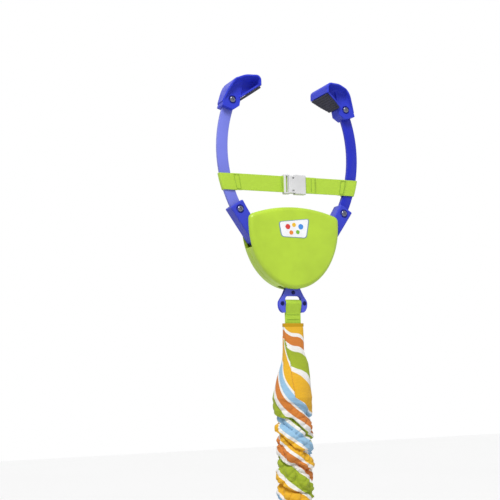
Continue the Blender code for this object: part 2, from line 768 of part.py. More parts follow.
def arm_outline(spare):
    """The bar's outline, grown all round by a spare width: a band on an arc with round ends."""
    low = arm_angle(ARM_BOLT_LEVEL)
    high = arm_angle(GRIP_SCREW_LEVEL)
    centre = (ARM_HALF_SPAN - ARM_RADIUS, ARM_WIDEST_LEVEL)
    half = ARM_WIDTH / 2 + spare
    top = (arm_x(GRIP_SCREW_LEVEL), GRIP_SCREW_LEVEL)
    foot = (arm_x(ARM_BOLT_LEVEL), ARM_BOLT_LEVEL)
    outline = arc_points(centre, ARM_RADIUS + half, low, high, ARM_POINTS)
    outline += arc_points(top, half, high, high + pi, END_POINTS)[1:-1]
    outline += arc_points(centre, ARM_RADIUS - half, high, low, ARM_POINTS)
    outline += arc_points(foot, half, low + pi, low + 2 * pi, END_POINTS)[1:-1]
    return outline


def make_arm_bar(word, side):
    y = ARM_THICKNESS / 2
    name = f"{word}_arm_bar"
    bar = add_object(name, prism(name, mirrored(arm_outline(0), side), -y, y), ARM_BLUE)
    soften(bar, BAR_EDGE)
    radius = BOLT_RADIUS + FIT
    for label, level in (("foot", ARM_BOLT_LEVEL), ("top", GRIP_SCREW_LEVEL)):
        x = side * arm_x(level)
        cut(bar, hole(f"{word}_bar_{label}_bore", x, level, radius, -2 * y, 2 * y))


def flange_ring(point, normal, half_width, thickness):
    """A flat section across Y, with its inner side at a point of the path."""
    x, z = point
    far = (x + normal.x * thickness, z + normal.y * thickness)
    return [
        (x, -half_width, z),
        (x, half_width, z),
        (far[0], half_width, far[1]),
        (far[0], -half_width, far[1]),
    ]


def right_normals(path):
    """At each point of a path, the direction to the right of its run."""
    normals = []
    for i in range(len(path)):
        before = Vector(path[max(i - 1, 0)])
        after = Vector(path[min(i + 1, len(path) - 1)])
        run = (after - before).normalized()
        normals.append(Vector((run.y, -run.x)))
    return normals


def offset_line(path, distance):
    steps = zip(path, right_normals(path))
    return [tuple(Vector(point) + normal * distance) for point, normal in steps]


def swept_flange(name, path, widths, thickness, side):
    """A strip of changing width along a path in XZ, which thickens to the right of its run."""
    sections = zip(path, right_normals(path), widths)
    rings = [flange_ring(point, normal, width, thickness) for point, normal, width in sections]
    rings = [[(side * x, y, z) for x, y, z in ring] for ring in rings]
    return loft(name, rings)


def hood_back():
    """The hood's back line and half widths, from its outer foot over the crest to the wall."""
    wall = GRIP_GAP / 2 + HOOD_FLANGE_THICKNESS
    foot_x = arm_x(HOOD_FOOT_LEVEL) + HOOD_BODY_HALF - HOOD_FLANGE_THICKNESS
    crest = GRIP_CREST_HEIGHT - HOOD_FLANGE_THICKNESS
    back = []
    for a, b, width in HOOD_BACK_SHARES:
        level = HOOD_FOOT_LEVEL + (crest - HOOD_FOOT_LEVEL) * b
        back.append((wall + (foot_x - wall) * a, level, HOOD_WALL_WIDTH / 2 * width))
    back = smooth_line(back, HOOD_STEPS)
    line = [(x, z) for x, z, _ in back]
    corner = (wall + HOOD_CORNER, crest - HOOD_CORNER)
    line += arc_points(corner, HOOD_CORNER, pi / 2, pi, HOOD_CORNER_POINTS)
    line.append((wall, sole_line()[1].y))
    widths = [width for _, _, width in back]
    widths += [HOOD_WALL_WIDTH / 2] * (len(line) - len(widths))
    return line, widths


def sole_line():
    """The ends of the sole's lower side, at its foot and at the wall, and the boss's heel beyond."""
    slope = Vector((PAD_REACH, -PAD_DROP)).normalized()
    lift = Vector((-slope.y, slope.x)) * (PAD_THICKNESS + FIT)
    foot = Vector((GRIP_GAP / 2 + PAD_REACH, -PAD_DROP))
    return foot + lift, Vector((GRIP_GAP / 2 + SOLE_INSET, 0)) + lift, foot + slope * FIT


def sole_widths():
    return [PAD_WIDTH / 2 * share for share in SOLE_WIDTH_SHARES]


def make_hood(word, side):
    """A grip hood: a boss round the bar's end, a flange that flares to the wall, and a sole."""
    back, widths = hood_back()
    sole_foot, sole_wall, heel = sole_line()
    y = LEVER_DEPTH / 2
    x = arm_x(GRIP_SCREW_LEVEL)
    sunk = HOOD_FLANGE_THICKNESS / 2
    web = offset_line(back, sunk)
    web += offset_line([tuple(sole_wall), tuple(sole_foot)], -sunk)
    web.append(tuple(heel))
    web += shares_of(HOOD_BOSS_SHARES, HOOD_BOSS_SIZE, HOOD_BOSS_SIZE, x, GRIP_SCREW_LEVEL)
    name = f"{word}_grip_hood"
    hood = add_object(name, prism(name, mirrored(web, side), -y, y), BLUE)
    join(hood, swept_flange(f"{word}_hood_flange", back, widths, HOOD_FLANGE_THICKNESS, side))
    sole = [tuple(sole_foot), tuple(sole_foot.lerp(sole_wall, 0.5)), tuple(sole_wall)]
    join(hood, swept_flange(f"{word}_hood_sole", sole, sole_widths(), HOOD_FLANGE_THICKNESS, side))
    depth = ARM_THICKNESS / 2 + FIT
    cut(hood, prism(f"{word}_hood_socket", mirrored(arm_outline(FIT), side), -depth, depth))
    ends = (-2 * y, y - LEVER_WALL)
    cut(hood, hole(f"{word}_hood_bore", side * x, GRIP_SCREW_LEVEL, BOLT_RADIUS + FIT, *ends))


def make_pad(word, side):
    """The rubber pad under a hood's sole."""
    corner = Vector((GRIP_GAP / 2, 0))
    foot = Vector((GRIP_GAP / 2 + PAD_REACH, -PAD_DROP))
    foot += (corner - foot).normalized() * 2 * FIT
    line = [tuple(foot), tuple(corner.lerp(foot, 0.5)), tuple(corner)]
    name = f"{word}_grip_pad"
    strip = swept_flange(name, line, sole_widths(), PAD_THICKNESS, side)
    add_object(name, strip, RUBBER, smooth=False)


def arm_edge(level, offset):
    """Where the line at an offset from the arm's centreline crosses a level."""
    reach = ARM_RADIUS + offset
    return ARM_HALF_SPAN - ARM_RADIUS + sqrt(reach**2 - (level - ARM_WIDEST_LEVEL) ** 2)


def make_loop(word, side):
    """A closed band of webbing round the arm bar, with a tail that is sewn to the strap."""
    half = SAFETY_STRAP_WIDTH / 2
    t = SAFETY_STRAP_THICKNESS
    y = ARM_THICKNESS / 2 + FIT
    reach = ARM_WIDTH / 2 + 2 * FIT
    outer_rings = []
    inner_rings = []
    for i in range(LOOP_LEVELS):
        rise = -half + 2 * half * i / (LOOP_LEVELS - 1)
        level = SAFETY_STRAP_LEVEL + rise
        right = arm_edge(level, reach)
        left = arm_edge(level, -reach)
        end = arm_edge(SAFETY_STRAP_LEVEL, -reach) - STRAP_SEWN_LENGTH
        outer = [(right + t, y + t), (left - t, y + t), (left - t, -y)]
        outer += [(end, -y), (end, -y - t), (right + t, -y - t)]
        outer_rings.append([(side * px, py, level) for px, py in outer])
        level = SAFETY_STRAP_LEVEL + rise * (half + CUT_OVERRUN) / half
        right = arm_edge(level, reach)
        left = arm_edge(level, -reach)
        inner = [(right, y), (left, y), (left, -y), (right, -y)]
        inner_rings.append([(side * px, py, level) for px, py in inner])
    name = f"{word}_strap_loop"
    loop = add_object(name, loft(name, outer_rings), WEBBING, smooth=False)
    cut(loop, loft(f"{word}_loop_bore", inner_rings))


def make_arm(word, side):
    make_lever(word, side)
    make_arm_bar(word, side)
    make_hood(word, side)
    make_pad(word, side)
    make_loop(word, side)
    face = -(LEVER_DEPTH / 2 + FIT)
    head = (BOLT_HEAD_RADIUS, BOLT_HEAD_HEIGHT)
    for label, level, length in (
        ("arm_bolt", ARM_BOLT_LEVEL, LEVER_DEPTH),
        ("grip_screw", GRIP_SCREW_LEVEL, LEVER_DEPTH - LEVER_WALL - FIT),
    ):
        place = (side * arm_x(level), face, level)
        screw_solid(f"{word}_{label}", place, (0, -1, 0), head, (BOLT_RADIUS, length), STEEL)


# Safety strap and buckle


def strap_start():
    """Where a strap's flat run begins: over the tail of its loop."""
    return arm_x(SAFETY_STRAP_LEVEL) - ARM_WIDTH / 2 - FIT


def make_straps():
    half = SAFETY_STRAP_WIDTH / 2
    y = STRAP_Y
    t = SAFETY_STRAP_THICKNESS / 2
    low = SAFETY_STRAP_LEVEL - half
    high = SAFETY_STRAP_LEVEL + half
    left = BUCKLE_OFFSET - BUCKLE_LENGTH / 2
    right = BUCKLE_OFFSET + BUCKLE_LENGTH / 2
    bite = BUCKLE_BAR + BUCKLE_SLOT / 2
    for word, start, end in (
        ("front", -strap_start(), left + bite),
        ("rear", right - bite, strap_start()),
    ):
        name = f"{word}_strap_web"
        add_object(name, box(name, (start, y - t, low), (end, y + t, high)), WEBBING, smooth=False)
    make_buckle(left, right)


def buckle_box(name, across, through, along):
    """A box of the buckle, with its depth and its height measured from the strap's middle."""
    low, high = sorted(across)
    near, far = sorted(through)
    bottom, top = sorted(along)
    level = SAFETY_STRAP_LEVEL
    return box(name, (low, STRAP_Y + near, level + bottom), (high, STRAP_Y + far, level + top))


def make_buckle(left, right):
    """A side-release buckle. The plug's two prongs and middle tongue run into the socket."""
    half = BUCKLE_HEIGHT / 2
    y = BUCKLE_THICKNESS / 2
    split = left + BUCKLE_SPLIT_SHARE * BUCKLE_LENGTH
    plug = buckle_box("buckle_plug", (left, split - FIT), (-y, y), (-half, half))
    plug = add_object("buckle_plug", plug, GREY)
    soften(plug, BUCKLE_EDGE)
    socket = buckle_box("buckle_socket", (split, right), (-y, y), (-half, half))
    socket = add_object("buckle_socket", socket, GREY)
    soften(socket, BUCKLE_EDGE)
    inner_y = y - BUCKLE_WALL
    hollow = half - BUCKLE_WALL
    floor = split + PRONG_LENGTH + RUNNING_FIT
    hollow_run = (split - CUT_OVERRUN, floor)
    cut(socket, buckle_box("socket_hollow", hollow_run, (-inner_y, inner_y), (-hollow, hollow)))
    thin = inner_y - RUNNING_FIT
    prong_run = (split - BUCKLE_WALL, split + PRONG_LENGTH)
    window_run = (split + RELEASE_WINDOW_START, split + RELEASE_WINDOW_START + RELEASE_WINDOW_LENGTH)
    catch_run = (split + CATCH_WINDOW_START, split + CATCH_WINDOW_START + CATCH_WINDOW_LENGTH)
    for label, way in (("lower", -1), ("upper", 1)):
        outer = way * (hollow - RUNNING_FIT)
        inner = outer - way * PRONG_WIDTH
        join(plug, buckle_box(f"{label}_prong", prong_run, (-thin, thin), (inner, outer)))
        edge = (way * (half - RELEASE_WINDOW_DEPTH), way * (half + CUT_OVERRUN))
        cut(socket, buckle_box(f"{label}_release_window", window_run, (-2 * y, 2 * y), edge))
        catch = (inner, inner + way * CATCH_WINDOW_HEIGHT)
        cut(socket, buckle_box(f"{label}_catch_window", catch_run, (-2 * y, 0), catch))
    middle = TONGUE_WIDTH / 2
    join(plug, buckle_box("plug_tongue", prong_run, (-thin, thin), (-middle, middle)))
    strap_gap = SAFETY_STRAP_THICKNESS / 2 + FIT
    slot = (-SAFETY_STRAP_WIDTH / 2 - FIT, SAFETY_STRAP_WIDTH / 2 + FIT)
    for owner, label, edge, way, face in (
        (plug, "plug", left, 1, -2 * y),
        (socket, "socket", right, -1, 0),
    ):
        deep = edge + way * (BUCKLE_BAR + BUCKLE_SLOT)
        across = (edge + way * BUCKLE_BAR, deep)
        cut(owner, buckle_box(f"{label}_web_slot", across, (face, 2 * y), slot))
        across = (edge - way * CUT_OVERRUN, deep)
        cut(owner, buckle_box(f"{label}_web_entry", across, (-strap_gap, strap_gap), slot))


# Hanger


def hanger_outline():
    """A plate with a round shoulder, two legs that swell to lobes, and an arch between them."""
    half = HANGER_WIDTH / 2
    foot = HANGER_TOP - HANGER_HEIGHT
    outer = smooth_line(shares_of(HANGER_SHARES, half, HANGER_HEIGHT, 0, foot), OUTLINE_STEPS)
    arch = HANGER_ARCH_WIDTH / 2
    crown = foot + HANGER_ARCH_HEIGHT
    corner = (arch - ARCH_CORNER, crown - ARCH_CORNER)
    inner = [(arch, foot), (arch, crown - ARCH_CORNER)]
    inner += arc_points(corner, ARCH_CORNER, 0, pi / 2, ARCH_POINTS)[1:]
    right = [*outer, *inner]
    return [*right, *[(-x, z) for x, z in reversed(right)]]


def make_hanger():
    """Two plates on the yoke's tongue, and between them a crossbar with flat ends."""
    near = PLATE_INNER_Y
    far = near + HANGER_PLATE
    bolt_bore = SIDE_BOLT_RADIUS + FIT
    ends = (-2 * far, 2 * far)
    for word, side in SIDES:
        name = f"hanger_{word}_plate"
        low, high = sorted((side * near, side * far))
        plate = add_object(name, prism(name, hanger_outline(), low, high), BLUE)
        cut(plate, hole(f"{name}_pin_bore", 0, HANGER_PIN_LEVEL, HANGER_PIN_RADIUS + FIT, *ends))
        for label, way in SIDES:
            x = way * SIDE_BOLT_SPACING / 2
            cut(plate, hole(f"{name}_{label}_bore", x, CROSSBAR_LEVEL, bolt_bore, *ends))
    head = (HANGER_PIN_HEAD_RADIUS, HANGER_PIN_HEAD_HEIGHT)
    shank = (HANGER_PIN_RADIUS, 2 * far + FIT)
    place = (0, -far - FIT, HANGER_PIN_LEVEL)
    screw_solid("hanger_pin", place, (0, -1, 0), head, shank, DARK_STEEL, False)
    name = "hanger_crossbar"
    end = HANGER_ARCH_WIDTH / 2 - FIT
    bar = rod(name, (-end, 0, CROSSBAR_LEVEL), (end, 0, CROSSBAR_LEVEL), CROSSBAR_RADIUS)
    bar = add_object(name, bar, BLUE)
    flat = TONGUE_THICKNESS / 2
    end = CROSSBAR_LENGTH / 2
    half = CROSSBAR_TAB_HEIGHT / 2
    lowest = (-end, -flat, CROSSBAR_LEVEL - half)
    join(bar, box("crossbar_tabs", lowest, (end, flat, CROSSBAR_LEVEL + half)))
    head = (SIDE_BOLT_HEAD_RADIUS, HANGER_PIN_HEAD_HEIGHT)
    shank = (SIDE_BOLT_RADIUS, 2 * far + FIT)
    for label, way in SIDES:
        x = way * SIDE_BOLT_SPACING / 2
        cut(bar, hole(f"crossbar_{label}_bore", x, CROSSBAR_LEVEL, bolt_bore, *ends))
        place = (x, -far - FIT, CROSSBAR_LEVEL)
        screw_solid(f"hanger_bolt_{label}", place, (0, -1, 0), head, shank, DARK_STEEL, False)


# Webbing loops, wire rings, main spring and sleeve


def webbing_eye(bar, way, radius, tail):
    """Half of a loop's outline in YZ: from where its layers meet round a bar and back again.

    Its sides run straight from the bend to a point an eye's length below the bar, or above it.
    """
    lean = asin(STRAP_LOOP_RADIUS / WEBBING_EYE_LENGTH)
    points = arc_points((0, 0), radius, -lean, pi + lean, LOOP_END_POINTS)
    apex = -WEBBING_EYE_LENGTH * radius / STRAP_LOOP_RADIUS
    share = tail / points[0][0]
    meet = apex + (points[0][1] - apex) * share
    points = [(tail, meet), *points, (-tail, meet)] if tail else [(0, meet), *points]
    return [(way * y, bar + way * z) for y, z in points]


def webbing_loop(name, top, bottom):
    """A strap that is folded round two bars along X, with its layers sewn together between them."""
    half = WEBBING_WIDTH / 2
    wide = half + CUT_OVERRUN
    radius = STRAP_LOOP_RADIUS + WEBBING_THICKNESS
    outline = webbing_eye(top, 1, radius, WEBBING_THICKNESS)
    outline += webbing_eye(bottom, -1, radius, WEBBING_THICKNESS)
    quarter = Matrix.Rotation(pi / 2, 4, "Z")
    strap = prism(name, outline, -half, half)
    strap.transform(quarter)
    strap = add_object(name, strap, WEBBING)
    for label, bar, way in (("top", top, 1), ("bottom", bottom, -1)):
        eye = prism(f"{name}_{label}_eye", webbing_eye(bar, way, STRAP_LOOP_RADIUS, 0), -wide, wide)
        eye.transform(quarter)
        cut(strap, eye)


def wire_ring(name, top):
    """A rectangular ring of wire with round corners, in the XZ plane."""
    half = WIRE_RING_WIDTH / 2
    bottom = top - WIRE_RING_HEIGHT
    corner = RING_CORNER
    points = []
    for x, z, start in (
        (half - corner, top - corner, 0),
        (corner - half, top - corner, pi / 2),
        (corner - half, bottom + corner, pi),
        (half - corner, bottom + corner, 1.5 * pi),
    ):
        points += arc_points((x, z), corner, start, start + pi / 2, WIRE_CORNER_POINTS)
    wire(name, [(x, 0, z) for x, z in points], WIRE_RING_RADIUS, STEEL, cyclic=True)
    return bottom


def spring_points(top_bar, bottom_bar):
    """The spring's wire: a hook round each ring's bar, and the coil between them, in one line."""
    hook = SPRING_HOOK_RADIUS
    lift = WIRE_RING_RADIUS + SPRING_WIRE + FIT
    top_hook = top_bar + lift - hook
    low_hook = bottom_bar - lift + hook
    coil_top = top_hook - hook - HOOK_NECK
    coil_bottom = low_hook + hook + HOOK_NECK
    high = []
    for i in range(HOOK_POINTS):
        angle = -pi / 2 + HOOK_SWEEP * (1 - i / (HOOK_POINTS - 1))
        high.append((0, hook * cos(angle), top_hook + hook * sin(angle)))
    count = SPRING_TURNS * CURL_POINTS
    coil = []
    for i in range(count + 1):
        angle = 2 * pi * i / CURL_POINTS
        level = coil_top + (coil_bottom - coil_top) * i / count
        coil.append((SPRING_RADIUS * sin(angle), SPRING_RADIUS * cos(angle), level))
    low = [(0, y, low_hook - (z - top_hook)) for _, y, z in reversed(high)]
    return [*high, *coil, *low]


def make_spring(upper_bar, lower_bar):
    points = spring_points(upper_bar, lower_bar)
    wire("main_spring", points, SPRING_WIRE, STEEL)
    print(f"main spring: least gap {least_gap(points, SPRING_WIRE) * 1000:.2f} mm")


def sleeve_point(share, angle, inset):
    """A point round the sleeve: flat at its ends, full between, with folds that wind round it."""
    drop = SLEEVE_LENGTH * share
    end_x = WEBBING_WIDTH / 2 + SLEEVE_SIDE_EASE + SLEEVE_WALL
    end_y = WEBBING_THICKNESS + SLEEVE_END_EASE + SLEEVE_WALL
    top = min(drop / SLEEVE_SHOULDER, 1)
    foot = min((SLEEVE_LENGTH - drop) / SLEEVE_FOOT, 1)
    fullness = sin(pi / 2 * top) * sin(pi / 2 * foot) ** SLEEVE_FOOT_POWER
    wide_x = end_x + (SLEEVE_HALF_WIDTH - end_x) * fullness - inset
    wide_y = end_y + (SLEEVE_HALF_WIDTH * SLEEVE_DEPTH_SHARE - end_y) * fullness - inset
    power = 2 / (2 + SQUARENESS * (1 - fullness) ** 2)
    x = wide_x * abs(cos(angle)) ** power * (1 if cos(angle) > 0 else -1)
    y = wide_y * abs(sin(angle)) ** power * (1 if sin(angle) > 0 else -1)
    crumple = min(drop / SLEEVE_CRUMPLE_START, 1) ** 2 * foot
    wind = FOLD_TURNS * 2 * pi * share
    wave = sum(size * sin(turns * wind + sides * angle) for size, turns, sides in FOLD_SHARES)
    swell = 1 + SLEEVE_FOLD / SLEEVE_HALF_WIDTH * crumple * wave
    return x * swell, y * swell


def make_sleeve():
    top = CROSSBAR_LEVEL - SLEEVE_TOP_DROP
    angles = [2 * pi * i / SLEEVE_SIDES for i in range(SLEEVE_SIDES)]
    layers = []
    for inset in (0, SLEEVE_WALL):
        rings = []
        for i in range(SLEEVE_ROWS + 1):
            share = i / SLEEVE_ROWS
            level = top - SLEEVE_LENGTH * share
            rings.append([(*sleeve_point(share, angle, inset), level) for angle in angles])
        layers.append(rings)
    outer, inner = layers
    sleeve = loft("spring_sleeve", [*outer, *reversed(inner)], closed=True)
    add_object("spring_sleeve", sleeve, STRIPED)


# Strap hub, straps and seat


def make_strap_hub(bar_level):
    """A moulded disc with a bar for the webbing above it and four slots for the seat straps."""
    top = bar_level - HUB_ARCH_HEIGHT
    low = top - HUB_THICKNESS
    disc = rod("strap_hub", (0, 0, low), (0, 0, top), HUB_DISC_RADIUS, 2 * ROUND_SIDES)
    hub = add_object("strap_hub", disc, BLUE)
    soften(hub, HUB_EDGE)
    half = HUB_ARCH_WIDTH / 2
    y = HUB_ARCH_DEPTH / 2
    inner = WEBBING_WIDTH / 2 + RUNNING_FIT
    cheek_low = low + HUB_THICKNESS / 2
    cheek_top = bar_level + HUB_BAR_RADIUS + HUB_EDGE
    for word, side in SIDES:
        low_x, high_x = sorted((side * inner, side * half))
        join(hub, box(f"hub_{word}_cheek", (low_x, -y, cheek_low), (high_x, y, cheek_top)))
    end = half - CUT_OVERRUN / 2
    join(hub, rod("hub_bar", (-end, 0, bar_level), (end, 0, bar_level), HUB_BAR_RADIUS))
    for name, angle in SEAT_STRAPS:
        slot = box(f"{name}_hub_slot", *hub_slot_box(low, top))
        slot.transform(Matrix.Rotation(angle, 4, "Z"))
        cut(hub, slot)
    return low, top


def hub_slot_box(low, top):
    half = SEAT_STRAP_WIDTH / 2 + FIT
    reach = HUB_SLOT_LENGTH / 2
    lowest = (HUB_SLOT_RADIUS - reach, -half, low - CUT_OVERRUN)
    highest = (HUB_SLOT_RADIUS + reach, half, top + CUT_OVERRUN)
    return lowest, highest


def ring_point(angle):
    """The ring's centreline where a ray at this angle meets it."""
    a = RING_LENGTH / 2
    b = RING_BREADTH / 2
    return 1 / sqrt((cos(angle) / a) ** 2 + (sin(angle) / b) ** 2)


def make_seat_straps(hub_low, hub_top, ring_top):
    """Straight bands from the hub's slots to the slots in the ring."""
    half = SEAT_STRAP_WIDTH / 2
    t = SEAT_STRAP_THICKNESS / 2
    for name, angle in SEAT_STRAPS:
        foot = ring_top - RING_SLOT_DEPTH + 2 * FIT
        rings = []
        for distance, level, plies in strap_run(angle, hub_low, hub_top, ring_top, foot):
            near = distance - plies * t
            far = distance + plies * t
            corners = ((near, -half), (far, -half), (far, half), (near, half))
            rings.append([(x, y, level) for x, y in corners])
        strap = loft(name, rings)
        strap.transform(Matrix.Rotation(angle, 4, "Z"))
        add_object(name, strap, WEBBING, smooth=False)


def strap_run(angle, hub_low, hub_top, ring_top, foot):
    """(distance, level, plies) along a strap, from its sewn fold on the hub to its slot in the ring."""
    end = ring_point(angle)
    seat = hub_top + FIT
    yield HUB_SLOT_RADIUS, seat + HUB_STRAP_STUB, 3
    yield HUB_SLOT_RADIUS, seat, 3
    yield HUB_SLOT_RADIUS, seat, 1
    yield HUB_SLOT_RADIUS, hub_low, 1
    yield end, ring_top, 1
    yield end, foot, 1


def ring_section(count):
    """The ring's section: flat sides with round corners."""
    points = []
    for i in range(count):
        angle = 2 * pi * i / count + pi / count
        power = 2 / RING_SQUARENESS
        x = abs(cos(angle)) ** power * (1 if cos(angle) > 0 else -1)
        z = abs(sin(angle)) ** power * (1 if sin(angle) > 0 else -1)
        points.append((RING_WIDTH / 2 * x, RING_HEIGHT / 2 * z))
    return points


def make_seat_ring(level):
    section = ring_section(RING_SECTION_POINTS)
    rings = []
    for i in range(RING_STATIONS):
        angle = 2 * pi * i / RING_STATIONS
        x = RING_LENGTH / 2 * cos(angle)
        y = RING_BREADTH / 2 * sin(angle)
        normal = Vector((cos(angle) / RING_LENGTH, sin(angle) / RING_BREADTH)).normalized()
        rings.append([(x + normal.x * a, y + normal.y * a, level + b) for a, b in section])
    ring = add_object("seat_ring", loft("seat_ring", rings, closed=True), BLUE)
    top = level + RING_HEIGHT / 2
    for name, angle in SEAT_STRAPS:
        distance = ring_point(angle)
        half = SEAT_STRAP_WIDTH / 2 + FIT
        reach = SEAT_STRAP_THICKNESS / 2 + FIT
        slot = box(
            f"{name}_ring_slot",
            (distance - reach, -half, top - RING_SLOT_DEPTH),
            (distance + reach, half, top + CUT_OVERRUN),
        )
        slot.transform(Matrix.Rotation(angle, 4, "Z"))
        cut(ring, slot)
    return top


def seat_section(share, inset):
    """Half sizes of the seat at a share of its depth: full at the ring and narrow below."""
    gap = RING_WIDTH / 2 + FIT
    top_x = RING_LENGTH / 2 - gap
    top_y = RING_BREADTH / 2 - gap
    taper = 1 - SEAT_TAPER_SHARE * share**SEAT_TAPER_POWER
    rounded = max(share - SEAT_ROUND_START_SHARE, 0) / (1 - SEAT_ROUND_START_SHARE)
    closing = sqrt(1 - rounded**2)
    return (top_x - inset) * taper * closing, (top_y - inset) * taper * closing


def make_seat_fabric(ring_level):
    """A fabric bucket inside the ring, with a hole for each leg."""
    top = ring_level + RING_HEIGHT / 2 + SEAT_RIM_RISE
    rows = [i / SEAT_ROWS for i in range(SEAT_ROWS)] + [SEAT_LAST_SHARE]
    outer = [seat_ring_points(share, 0, top - SEAT_DEPTH * share) for share in rows]
    depth = SEAT_DEPTH - SEAT_WALL
    inner = [seat_ring_points(share, SEAT_WALL, top - depth * share) for share in rows]
    seat = add_object("seat_fabric", loft("seat_fabric", [*reversed(outer), *inner]), STRIPED)
    leg_x = -RING_LENGTH / 4 * LEG_FORWARD_SHARE
    leg_level = top - SEAT_DEPTH + LEG_HOLE_RISE
    for word, side in (("left", -1), ("right", 1)):
        centre = (leg_x, side * LEG_HOLE_SPREAD / 2, leg_level)
        bm = bmesh.new()
        bmesh.ops.create_uvsphere(bm, u_segments=LEG_HOLE_SIDES, v_segments=LEG_HOLE_ROWS, radius=1)
        sizes = (LEG_HOLE_LENGTH / 2, LEG_HOLE_SPREAD / 2 - CROTCH_HALF_WIDTH, LEG_HOLE_HEIGHT / 2)
        bmesh.ops.scale(bm, vec=sizes, verts=bm.verts)
        turn = Matrix.Rotation(LEG_HOLE_TILT, 4, "Y")
        bmesh.ops.transform(bm, matrix=Matrix.Translation(centre) @ turn, verts=bm.verts)
        cut(seat, mesh_from(bm, f"{word}_leg_hole"))


def seat_ring_points(share, inset, level):
    half_x, half_y = seat_section(share, inset)
    angles = [2 * pi * i / SEAT_SIDES for i in range(SEAT_SIDES)]
    return [(half_x * cos(a), half_y * sin(a), level) for a in angles]


def make_suspension():
    """Everything that hangs from the crossbar, from the top down."""
    inner = STRAP_LOOP_RADIUS
    loop_bottom = CROSSBAR_LEVEL - UPPER_WEBBING_LENGTH
    webbing_loop("upper_webbing", CROSSBAR_LEVEL, loop_bottom)
    ring_top = loop_bottom - inner + WIRE_RING_RADIUS + FIT
    upper_bar = wire_ring("upper_ring", ring_top)
    hooks = 2 * (2 * SPRING_HOOK_RADIUS - WIRE_RING_RADIUS - SPRING_WIRE - FIT + HOOK_NECK)
    lower_bar = upper_bar - SPRING_LENGTH - hooks
    make_spring(upper_bar, lower_bar)
    low_bar = wire_ring("lower_ring", lower_bar)
    loop_top = low_bar + WIRE_RING_RADIUS + FIT - inner
    hub_bar = loop_top - LOWER_WEBBING_LENGTH
    webbing_loop("lower_webbing", loop_top, hub_bar)
    make_sleeve()
    hub_low, hub_top = make_strap_hub(hub_bar - inner + HUB_BAR_RADIUS + FIT)
    ring_level = hub_low - SEAT_DROP
    ring_top = make_seat_ring(ring_level)
    make_seat_straps(hub_low, hub_top, ring_top)
    make_seat_fabric(ring_level)


def gather(bodies):
    """Parents each body's pieces, and the tools that cut them, to an empty on its joint's axis."""
    empties = {}
    for name, (parent, place, pieces) in bodies.items():
        empty = bpy.data.objects.new(f"{name}_axis", None)
        PARTS.objects.link(empty)
        empties[name] = (empty, Vector(place))
        empty.location = place
        if parent:
            owner, origin = empties[parent]
            empty.parent = owner
            empty.location = Vector(place) - origin
        for piece in pieces:
            obj = bpy.data.objects[piece]
            tools = [step.object for step in obj.modifiers if step.type == "BOOLEAN"]
            for item in [obj, *tools]:
                item.parent = empty
                item.matrix_parent_inverse = Matrix.Translation(-Vector(place))


def arm_pieces(word):
    kinds = ("lever", "arm_bar", "grip_hood", "grip_pad", "strap_loop", "arm_bolt", "grip_screw")
    return [f"{word}_{kind}" for kind in kinds]


empty_scene()
PARTS = new_collection("doorway_jumper")
CUTTERS = new_collection("cutters")
LIME = new_material("lime_plastic", (0.45, 0.68, 0.03), 0.35)
BLUE = new_material("blue_plastic", (0.02, 0.03, 0.50), 0.35)
ARM_BLUE = new_material("arm_blue", (0.03, 0.05, 0.55), 0.45)
WEBBING = new_material("green_webbing", (0.42, 0.66, 0.03), 0.85)
GREY = new_material("grey_plastic", (0.62, 0.63, 0.65), 0.4)
STEEL = new_material("steel", (0.60, 0.60, 0.62), 0.3, 1.0)
DARK_STEEL = new_material("dark_steel", (0.05, 0.05, 0.08), 0.4, 1.0)
RUBBER = new_material("dark_rubber", (0.02, 0.02, 0.05), 0.8)
STRIPED = new_material("striped_cotton", (0.85, 0.45, 0.05), 0.9)

make_housing()
make_clamp_spring(make_yoke())
for word, side in SIDES:
    make_arm(word, side)
make_straps()
make_hanger()
make_suspension()

pivot = (LEVER_PIVOT_X, 0, PIVOT_LEVEL)
strap_hinge = (strap_start(), 0, SAFETY_STRAP_LEVEL)
front_hinge = (-strap_start(), 0, SAFETY_STRAP_LEVEL)
seat_pieces = ["lower_ring", "lower_webbing", "strap_hub", "seat_ring", "seat_fabric"]
seat_pieces += [name for name, _ in SEAT_STRAPS]
housing_pieces = [f"cover_screw_{place}" for place, _, _ in cover_screw_sites()]
for word, _ in SIDES:
    housing_pieces += [f"{word}_cover", f"{word}_lever_pin"]
hanger_pieces = ["hanger_front_plate", "hanger_rear_plate", "hanger_pin", "hanger_crossbar"]
hanger_pieces += ["hanger_bolt_front", "hanger_bolt_rear"]
hanging_pieces = ["upper_webbing", "upper_ring", "main_spring", "spring_sleeve"]
gather({
    "housing": (None, (0, 0, 0), [*housing_pieces, "clamp_spring"]),
    "front_arm": ("housing", (-pivot[0], 0, pivot[2]), arm_pieces("front")),
    "rear_arm": ("housing", pivot, arm_pieces("rear")),
    "front_strap": ("front_arm", front_hinge, ["front_strap_web", "buckle_plug"]),
    "rear_strap": ("rear_arm", strap_hinge, ["rear_strap_web", "buckle_socket"]),
    "yoke": ("housing", (0, 0, YOKE_PIN_LEVEL), ["yoke", "yoke_pin"]),
    "hanger": ("yoke", (0, 0, HANGER_PIN_LEVEL), hanger_pieces),
    "suspension": ("hanger", (0, 0, CROSSBAR_LEVEL), hanging_pieces),
    "seat": ("suspension", (0, 0, CROSSBAR_LEVEL), seat_pieces),
})
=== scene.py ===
from math import asin, atan2, copysign, cos, hypot, pi, radians, sin, sqrt

import bmesh
import bpy
import numpy as np
from mathutils import Matrix, Vector, noise


